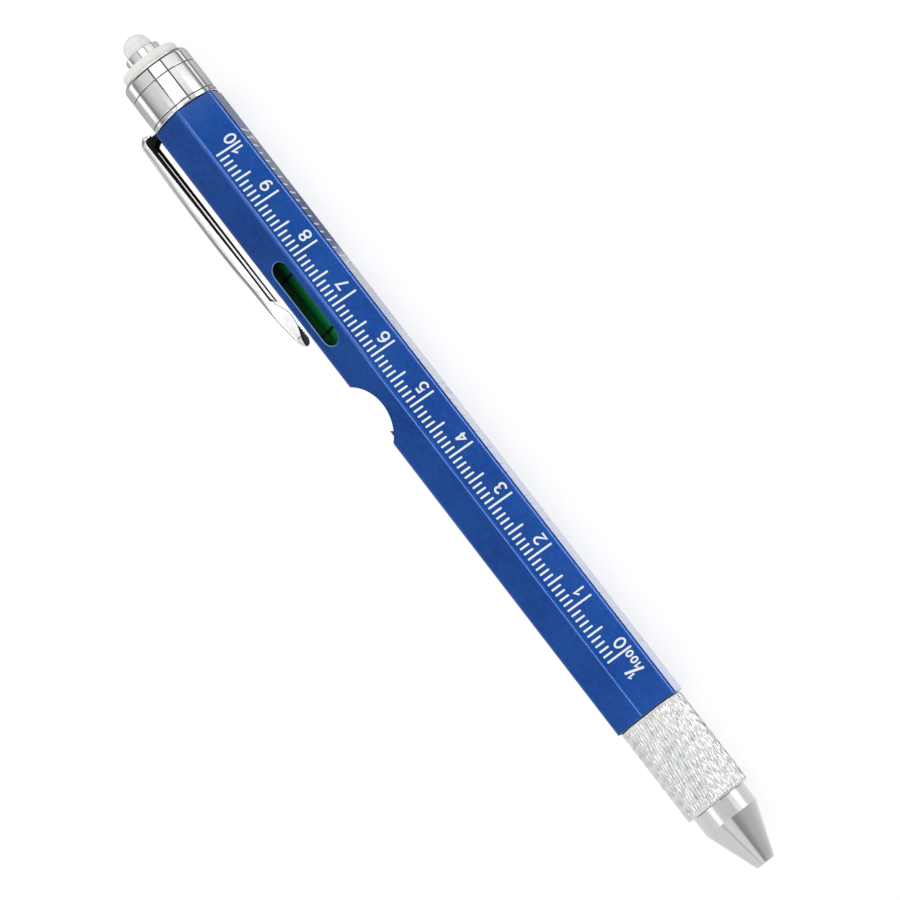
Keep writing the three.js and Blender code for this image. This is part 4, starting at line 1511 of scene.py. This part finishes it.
    def finish_at(self, x: float, y: float, skin: Skin) -> ClipFinish:
        """Finish of a part of the skin.

        Args:
            x: Place along the pen.
            y: Place across the clip.
            skin: Part of the skin.

        Returns:
            The finish.
        """
        # Painted shade: the faces under the sides at the tip, and the hems, edges, trough and rear ledges
        # along the trough. Painted reflection: the foot's underside and the ledges in front of the gusset.
        share = (self.back - x) / self.length
        if skin in (Skin.TOP, Skin.SIDE) or x > self.back - self.rim:
            return ClipFinish.POLISHED
        if share > self.tip_share + self.tip_slant * (y / self.half_width + 1) / 2:
            return ClipFinish.IN_SHADE
        if share > self.trough_share:
            return ClipFinish.POLISHED if skin is Skin.HEM else ClipFinish.MIRRORS_FLOOR
        lit = skin is Skin.LEDGE and x < self.back - self.gusset[0] - 0.4
        return ClipFinish.MIRRORS_FLOOR if lit else ClipFinish.IN_SHADE

    def stations(self) -> list[float]:
        """Places along the pen where the section is taken, close together where it changes.

        Returns:
            The places, from the rear to the tip.
        """
        back, tip, gap = self.back, self.back - self.length, 0.02
        tip_run, wide, close = 1.2, 0.8, 0.2
        ring = Span.of("clip_ring")
        lead = ring.start - self.ring_lead
        places = {lead, lead - gap, back - self.lug, back - self.lug + gap}
        places |= {ring.end, ring.end - gap, back - self.rim, back - self.rim - gap}
        places |= {back - gap - self.back_bend * (1 - math.cos(math.radians(a))) for a in range(0, 95, 9)}
        places |= {self.bend_start - step * 0.12 for step in range(14)}
        places |= {self.bend_start + self.rim * step / 6 for step in range(9)}
        places |= {tip + gap + tip_run * (1 - math.cos(math.radians(a))) for a in range(0, 92, 8)}
        x = back - 3.4
        while x > tip + tip_run:
            places.add(x)
            x -= wide if x > tip + 10 else close
        ordered = sorted(places, reverse=True)
        return [a for a, b in zip(ordered, [*ordered[1:], -math.inf]) if a - b > gap / 5]

    def build(self) -> None:
        """Makes the clip and the ring that holds it."""
        stations = self.stations()
        sections = [self.section(x) for x in stations]
        arm = lofted([[Vector((x, *point)) for point, _ in ring] for x, ring in zip(stations, sections)])
        faces = iter(arm.faces)
        for a, b, ring in zip(stations, stations[1:], sections):
            for (y, _), skin in ring:
                next(faces).material_index = self.finish_at((a + b) / 2, y, skin)
        turned_to(arm, Flat.CLIP.turn())
        # Painted shade and painted reflection are the clip's second and third finishes.
        more = (Finishes.SHADED_CHROME, Finishes.BRIGHT_CHROME)
        Piece("clip", Body.CLIP, Finishes.CLIP_CHROME, ("clip_arm",), 50, more).make(arm)
        self.holder(Span.of("clip_ring"))

    def holder(self, span: Span) -> None:
        """Makes the ring with the root of the clip's lug.

        Args:
            span: Where the ring starts and ends.
        """
        parts = [spun(eased(band(span, self.ring_bore, self.ring_radius), self.ring_easing, 4))]
        half, middle = self.half_width, span.start + self.root_shade
        # The front of the lug's root gets painted shade, the rest polished chrome.
        for start, end, finish in (
            (span.start, middle, ClipFinish.IN_SHADE),
            (middle, span.end, ClipFinish.POLISHED),
        ):
            outline = [(start, -half), (end, -half), (end, half), (start, half)]
            root = raised(outline, self.root_low, self.ring_radius + self.root_rise)
            for face in root.faces:
                face.material_index = finish
            parts.append(turned_to(root, Flat.CLIP.turn()))
        more = (Finishes.SHADED_CHROME,)
        Piece("clip_holder", Body.BARREL, Finishes.CHROME, ("clip_ring",), 35, more).make(merged(parts))


@dataclass
class LampHead:
    """Chromed lamp head in two pieces, with the milky press button, the collar and the lamp."""

    radius: float = 6.0
    sleeve_length: float = 5.1
    sleeve_easing: float = 0.045
    pass_radius: float = 2.75
    socket_radius: float = 4.85
    socket_depth: float = 3.0
    tube_radius: float = 4.6
    tube_bore: float = 3.9
    cap_length: float = 2.7
    cap_shoulder: float = 0.9
    cap_mouth: float = 5.25
    cap_mouth_depth: float = 1.9
    cap_easing: float = 0.04
    button_radius: float = 5.05
    button_thickness: float = 2.2
    button_easing: float = 0.3
    stem_radius: float = 2.5
    stem_bore: float = 1.6
    seat_depth: float = 1.5
    led_radius: float = 2.34
    led_pass: float = 2.625
    collar_wall: float = 0.45
    collar_easing: float = 0.18

    def build(self) -> None:
        """Makes the five visible pieces of the head."""
        self.chromed()
        self.pressed()

    def chromed(self) -> None:
        """Makes the two pieces that screw onto the barrel."""
        body, cap = Span.of("head_body"), Span.of("head_cap")
        front, socket = body.end - self.sleeve_length, body.end - self.socket_depth
        profile = [
            (body.start, self.pass_radius), (body.start, Pen.SEAT_RADIUS), (front, Pen.SEAT_RADIUS),
            (front, self.radius), (body.end, self.radius), (body.end, self.socket_radius),
            (socket, self.socket_radius), (socket, self.pass_radius),
        ]
        sleeve = spun(eased(profile, self.sleeve_easing))
        Piece("head_sleeve", Body.HEAD, Finishes.CHROME, ("head_body",)).make(sleeve)
        reach = (self.cap_shoulder, self.cap_shoulder / 2)
        shoulder = arc((cap.end - reach[0], self.radius - reach[1]), reach, 90, 0, 12)
        start, mouth = cap.end - self.cap_length, cap.end - self.cap_mouth_depth
        profile = [
            (cap.start, self.tube_bore), (cap.start, self.tube_radius), (start, self.tube_radius),
            (start, self.radius), *shoulder, (cap.end, self.cap_mouth), (mouth, self.cap_mouth),
            (mouth, self.tube_bore),
        ]
        crown = spun(eased(profile, self.cap_easing))
        Piece("head_crown", Body.HEAD, Finishes.CHROME, ("head_cap",)).make(crown)

    def pressed(self) -> None:
        """Makes the three pieces that move with the lamp."""
        button, led = Span.of("light_button"), Span.of("led")
        seat, underside = button.end - self.seat_depth, button.end - self.button_thickness
        profile = [
            (button.start, self.stem_bore), (button.start, self.stem_radius), (underside, self.stem_radius),
            (underside, self.button_radius), (button.end, self.button_radius), (button.end, self.led_pass),
            (seat, self.led_pass), (seat, self.stem_bore),
        ]
        ring = spun(eased(profile, self.button_easing, 5))
        Piece("press_ring", Body.LAMP_BUTTON, Finishes.MILKY, ("light_button",)).make(ring)
        profile = band(Span.of("led_collar"), self.led_pass, self.led_pass + self.collar_wall)
        collar = spun(eased(profile, self.collar_easing, 4))
        Piece("lamp_collar", Body.LAMP_BUTTON, Finishes.CHROME, ("led_collar",)).make(collar)
        r = self.led_radius
        lamp = spun([(led.start, 0), (led.start, r), *arc((led.end - r, 0), (r, r), 90, 0, 24)])
        Piece("lamp", Body.LAMP_BUTTON, Finishes.LAMP_EPOXY, ("led",)).make(lamp)


@dataclass
class Grip:
    """Knurled sleeve at the writing end."""

    radius: float = 5.66
    wall: float = 1.2
    edge: float = 0.25
    starts: int = 60
    lengthwise: float = 3.7
    depth: float = 0.18
    groove_share: float = 1.5
    cross_share: float = 0.7
    unevenness: float = 0.3
    drift_along: float = 0.3
    drift_around: float = 2.2
    family_gap: float = 9.0
    wear: Point = (0.75, 0.5)
    wear_size: float = 1.7
    fade: float = 0.5
    overrun: float = 0.22
    near: float = 0.01
    around: int = 480
    along: int = 130

    def knurl(self, x: float, angle: float) -> float:
        """Depth of the knurling at a place.

        Args:
            x: Place along the pen.
            angle: Angle round it.

        Returns:
            How far the surface stands under the ridges.
        """
        turn, run = self.starts * angle / (2 * math.pi), x / self.lengthwise
        across = self.radius * self.drift_around
        place = Vector((x * self.drift_along, across * math.cos(angle), across * math.sin(angle)))
        sunk = 0.0
        for side, share in ((1, self.cross_share), (-1, 1.0)):
            drift = self.unevenness * noise.noise(place + Vector((self.family_gap * side, 0, 0)))
            ridge = 1 - abs(2 * ((turn + side * run + drift) % 1.0) - 1)
            sunk = max(sunk, share * (1 - min(ridge * self.groove_share, 1.0)))
        worn = self.wear[0] + self.wear[1] * noise.noise(place * self.wear_size)
        return self.depth * worn * sunk

    def build(self) -> None:
        """Makes the sleeve with its real knurling."""
        node = Span.of("grip_sleeve")
        span = Span(node.start, node.end + self.overrun)
        bore = self.radius - self.wall
        run = span.length - 1.5 * self.edge
        shares = [step / self.along for step in range(self.along + 1)]
        top = [(span.start + self.edge + run * share, self.radius) for share in shares]
        profile = [
            (span.start, bore), (span.start, self.radius - self.edge), *top,
            (span.end, self.radius - self.edge / 2), (span.end, bore),
        ]
        bm = spun(profile, self.around)
        depth = bm.verts.layers.float.new(GROOVE_DEPTH)
        for vert in bm.verts:
            reach = math.hypot(vert.co.y, vert.co.z)
            if reach > self.radius - self.near:
                inset = min(vert.co.x - span.start, span.end - vert.co.x)
                sink = self.knurl(vert.co.x, math.atan2(vert.co.z, vert.co.y)) * min(inset / self.fade, 1.0)
                vert.co.yz = vert.co.yz * ((reach - sink) / reach)
                vert[depth] = sink / self.depth
        Piece("knurled_sleeve", Body.GRIP, Finishes.KNURLED, ("grip_sleeve",), 60).make(bm)


@dataclass
class WritingEnd:
    """Nose cone and the refill that comes out of it."""

    radius: float = 4.79
    straight: float = 3.2
    cone: float = 8.6
    tip_radius: float = 1.81
    tip_round: float = 0.5
    mouth: float = 0.85
    mouth_length: float = 1.0
    pass_radius: float = 1.575
    spigot_radius: float = 4.21
    easing: float = 0.06
    pipe_radius: float = 1.175
    pipe_bore: float = 0.8
    pipe_easing: float = 0.05
    neck_radius: float = 0.6
    neck_length: float = 4.0
    neck_flare: float = 2.0
    point_radius: float = 0.36
    point_length: float = 0.5

    def build(self) -> None:
        """Makes the nose cone and the refill's three visible pieces."""
        span, r = Span.of("nose_cone"), self.tip_round
        shoulder, pass_end = span.start + self.cone + self.straight, span.start + self.mouth_length
        tip = arc((span.start + r, self.tip_radius - r), (r, r), 180, 90, 10)
        profile = [
            (span.start, self.mouth), *tip, (span.start + self.cone, self.radius), (shoulder, self.radius),
            (shoulder, self.spigot_radius), (span.end, self.spigot_radius), (span.end, self.pass_radius),
            (pass_end + self.mouth_length, self.pass_radius), (pass_end, self.mouth),
        ]
        nose = spun(eased(profile, self.easing))
        Piece("writing_nose", Body.NOSE, Finishes.SATIN, ("nose_cone",), 12).make(nose)
        self.refill(Span.of("refill_tube"), Span.of("refill_tip"), Span.of("refill_ball"))

    def refill(self, tube: Span, tip: Span, ball: Span) -> None:
        """Makes the refill.

        Args:
            tube: Where its tube starts and ends.
            tip: Where its brass tip does.
            ball: Where its ball does.
        """
        pipe = spun(eased(band(tube, self.pipe_bore, self.pipe_radius), self.pipe_easing), SMALL_STEPS)
        Piece("refill_pipe", Body.REFILL, Finishes.STEEL, ("refill_tube",)).make(pipe)
        neck = ball.start + self.neck_length
        profile = [
            (tip.start, 0), (tip.start, self.point_radius), (tip.start + self.point_length, self.neck_radius),
            (neck, self.neck_radius), (neck + self.neck_flare, self.pipe_radius), (tip.end, self.pipe_radius),
            (tip.end, 0),
        ]
        point = spun(profile, SMALL_STEPS)
        Piece("refill_point", Body.REFILL, Finishes.BRASS, ("refill_tip",)).make(point)
        bead = spun(arc((ball.middle, 0), (ball.length / 2, ball.length / 2), 180, 0, 16), SMALL_STEPS)
        Piece("refill_bead", Body.REFILL, Finishes.STEEL, ("refill_ball",)).make(bead)


@dataclass
class InnerWorks:
    """Solids inside the pen that keep their shape and get their finish, and the two springs."""

    dressed: tuple[tuple[Finish, tuple[str, ...]], ...] = (
        (Finishes.WHITE_PLASTIC, ("level_plug_front", "level_plug_rear", "battery_stop")),
        (Finishes.BRASS, ("led_lead", "battery_contact", "grip_core", "twist_cam")),
        (Finishes.STEEL, ("button_cell_1", "button_cell_2", "button_cell_3")),
        (Finishes.BLACK_PLASTIC, ("mechanism_housing", "refill_carrier")),
        (Finishes.RUBBER, ("friction_ring",)),
    )
    cell_spring: tuple[float, float, int] = (2.6, 0.4, 3)
    return_spring: tuple[float, float, int] = (3.2, 0.36, 5)
    press_travel: float = 1.0

    def build(self) -> None:
        """Dresses the hidden solids and coils the springs."""
        for finish, names in self.dressed:
            for name in names:
                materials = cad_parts[name].data.materials
                materials.clear()
                materials.append(finish.material())
                log.info("%s: %s", name, finish.name)
        coiled = coil(Span.of("battery_spring"), *self.cell_spring)
        Piece("cell_spring", Body.BARREL, Finishes.STEEL, ("battery_spring",), 60).make(coiled)
        span = Span.of("button_spring")
        coiled = coil(span, *self.return_spring)
        spring = Piece("return_spring", Body.HEAD, Finishes.STEEL, ("button_spring",), 60).make(coiled)
        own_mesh(spring)


def rear_panels(side: float, bend: float) -> Stops:
    """Panels that the rear half of the barrel and the clip mirror.

    Args:
        side: Level of the panel that lies in the grazing view of the inch scale.
        bend: Level of the panel that the clip's bend mirrors.

    Returns:
        Pairs of place round the pen's axis and level.
    """
    return (
        (0.0, 0.25), (0.013, 0.3), (0.022, 3.6), (0.09, 3.6), (0.105, 0.3), (0.16, 0.05), (0.28, 0.05),
        (0.29, side), (0.34, side), (0.4, 1.5 * bend), (0.5, 1.2 * bend), (0.58, 0.9 * bend), (0.61, 0.17),
        (0.665, 0.18), (0.69, bend), (0.75, bend), (0.765, 0.9 * bend), (0.78, 1.5), (0.822, 1.5),
        (0.83, 4.2), (0.868, 4.2), (0.88, 0.06), (0.945, 0.03), (0.96, 0.15),
    )


@dataclass
class Studio:
    """Camera, floor, lamp and surroundings. A zone pairs a direction along the pen with its panels."""

    eye: Vector = Vector((-0.03687, -0.4110, 0.4835))
    right: Vector = Vector((-0.60635, -0.55109, -0.57327))
    up: Vector = Vector((0.78552, -0.52723, -0.32401))
    backward: Vector = Vector((-0.12368, -0.64678, 0.75258))
    lens: float = 162.86
    sensor: float = 36.0
    floor_level: float = -0.00036
    floor_size: float = 3.0
    glow: float = 0.72
    floor_white: float = 1.14
    around: Colour = (0.82, 0.82, 0.82, 1)
    lamp_place: Vector = Vector((0.1, -0.35, 0.8))
    lamp_aim: Vector = Vector((0.04, 0, 0))
    lamp_size: float = 0.9
    lamp_power: float = 0.9
    peak: float = 5.0
    zone_blur: float = 0.003
    zones: tuple[tuple[float, Stops], ...] = (
        (-9.0, (
            (0.0, 0.46), (0.1, 0.5), (0.25, 0.7), (0.36, 0.8), (0.5, 0.7), (0.69, 0.72), (0.725, 0.5),
            (0.755, 0.78), (0.84, 0.7), (0.87, 0.27), (0.92, 0.3), (1.0, 0.46),
        )),
        (-0.2, (
            (0.0, 1.0), (0.07, 1.0), (0.1, 0.75), (0.3, 0.85), (0.36, 0.8), (0.62, 0.75), (0.65, 0.8),
            (0.79, 0.8), (0.81, 0.73), (0.95, 0.71), (0.97, 1.0),
        )),
        (0.04, (
            (0.0, 0.2), (0.013, 0.3), (0.022, 3.2), (0.09, 3.2), (0.105, 0.3), (0.16, 0.05), (0.28, 0.05),
            (0.29, 1.35), (0.4, 1.35), (0.44, 0.6), (0.6, 0.5), (0.615, 0.15), (0.66, 0.15), (0.7, 0.4),
            (0.72, 3.8), (0.76, 3.8), (0.77, 0.3), (0.81, 0.04), (0.93, 0.04), (0.955, 0.18),
        )),
        (0.155, rear_panels(1.1, 0.3)),
        (0.178, rear_panels(0.16, 0.36)),
        (0.197, rear_panels(0.42, 0.5)),
        (0.227, (
            (0.0, 0.95), (0.09, 0.8), (0.105, 0.6), (0.118, 0.5), (0.127, 0.14), (0.134, 0.14), (0.15, 1.0),
            (0.165, 1.0), (0.175, 0.2), (0.186, 0.2), (0.2, 0.6), (0.363, 0.4), (0.545, 0.5), (0.56, 1.1),
            (0.6, 1.1), (0.612, 0.35), (0.632, 0.22), (0.65, 0.42), (0.72, 0.66), (0.812, 0.74),
            (0.819, 0.02), (0.828, 0.02), (0.8315, 1.3), (0.946, 1.3), (0.949, 0.02), (0.957, 0.02),
            (0.963, 0.95),
        )),
        (0.48, ((0.0, 0.1), (0.3, 0.3), (0.6, 0.3), (0.7, 0.04), (1.0, 0.04))),
        (0.76, ((0.0, 0.9), (0.3, 0.8), (0.6, 0.7), (0.8, 1.1), (1.0, 1.0))),
    )

    def camera(self) -> None:
        """Places the camera where the photograph was taken."""
        data = bpy.data.cameras.new("Camera")
        data.lens, data.sensor_width = self.lens, self.sensor
        data.clip_start, data.clip_end = 0.01, 20.0
        camera = placed("Camera", data)
        turn = Matrix((self.right, self.up, self.backward)).transposed().to_4x4()
        camera.matrix_world = Matrix.Translation(self.eye) @ turn
        bpy.context.scene.camera = camera

    @staticmethod
    def seen(bench: Bench, labels: tuple[str, ...]) -> Socket:
        """Whether the ray is one of the named kinds.

        Args:
            bench: Bench on the tree.
            labels: Names of the kinds.

        Returns:
            Socket that is 1 where it is.
        """
        path = bench.add("ShaderNodeLightPath")
        found = path.outputs[labels[0]]
        for label in labels[1:]:
            found = bench.maths("MAXIMUM", found, path.outputs[label])
        return found

    def floor(self) -> None:
        """Lays the pale floor, which keeps a soft shadow."""
        bm = bmesh.new()
        level = Matrix.Translation((0, 0, self.floor_level))
        bmesh.ops.create_grid(bm, x_segments=2, y_segments=2, size=self.floor_size, matrix=level)
        material = bpy.data.materials.new("Pale floor")
        material.use_nodes = True
        bench = Bench(material.node_tree)
        paint = bench.add("ShaderNodeBsdfDiffuse", {"Color": (0.9, 0.9, 0.9, 1)})
        glow = bench.add("ShaderNodeEmission", {"Color": (1, 1, 1, 1), "Strength": self.floor_white})
        share = bench.maths("MULTIPLY", self.seen(bench, ("Is Camera Ray", "Is Transmission Ray")), self.glow)
        mix = bench.add("ShaderNodeMixShader", {0: share, 1: paint.outputs[0], 2: glow.outputs[0]})
        bench.add("ShaderNodeOutputMaterial", {"Surface": mix.outputs[0]})
        floor = placed("floor", stored(bm, "floor"))
        floor.data.materials.append(material)
        floor.visible_glossy = False

    def surroundings(self) -> None:
        """Lights the pen evenly, with bright and dim panels for what polished metal mirrors."""
        world = bpy.data.worlds.new("Studio")
        bpy.context.scene.world = world
        world.use_nodes = True
        world.cycles.sampling_method = "NONE"
        bench = Bench(world.node_tree)
        place = bench.add("ShaderNodeTexCoord").outputs["Generated"]
        split = bench.add("ShaderNodeSeparateXYZ", {0: place})
        angle = bench.maths("ARCTAN2", split.outputs["Z"], split.outputs["Y"])
        share = bench.maths("MULTIPLY_ADD", angle, 1 / (2 * math.pi), 0.5)
        bands = [(limit, bench.ramp(share, stops, self.peak)) for limit, stops in self.zones]
        panels = bands[0][1]
        for limit, panel in bands[1:]:
            beyond = bench.spread(split.outputs["X"], limit - self.zone_blur, limit + self.zone_blur)
            panels = bench.blend(beyond, panels, panel)
        bright = bench.add("ShaderNodeVectorMath", {0: panels, "Scale": self.peak}, operation="SCALE")
        light = bench.blend(self.seen(bench, ("Is Glossy Ray",)), self.around, bright.outputs[0])
        light = bench.blend(self.seen(bench, ("Is Camera Ray", "Is Transmission Ray")), light, (1, 1, 1, 1))
        sky = bench.add("ShaderNodeBackground", {"Color": light, "Strength": 1.0})
        bench.add("ShaderNodeOutputWorld", {"Surface": sky.outputs[0]})

    def lamp(self) -> None:
        """Hangs one wide soft lamp over the pen."""
        data = bpy.data.lights.new("Soft lamp", "AREA")
        data.shape, data.size, data.energy = "DISK", self.lamp_size, self.lamp_power
        lamp = placed("Soft lamp", data)
        lamp.location = self.lamp_place
        lamp.rotation_euler = (self.lamp_aim - self.lamp_place).to_track_quat("-Z", "Y").to_euler()
        lamp.visible_glossy = False

    def build(self) -> None:
        """Sets up the whole studio."""
        self.camera()
        self.floor()
        self.surroundings()
        self.lamp()
        bpy.context.scene.view_settings.view_transform = "Standard"


def corners(box: tuple[Vector, Vector]) -> list[list[float]]:
    """A box's two corners as plain lists."""
    return [list(box[0]), list(box[1])]


def main() -> None:
    """Builds the pen in order."""
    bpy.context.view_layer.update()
    pen = Pen()
    parts = (
        Studio(), Barrel(pen), OpenerTooth(pen), Scale(), Level(), Clip(), LampHead(), Grip(), WritingEnd(),
        InnerWorks(),
    )
    for part in parts:
        part.build()


if __name__ == "__main__":
    logging.basicConfig(level=logging.INFO, format="%(message)s")
    main()
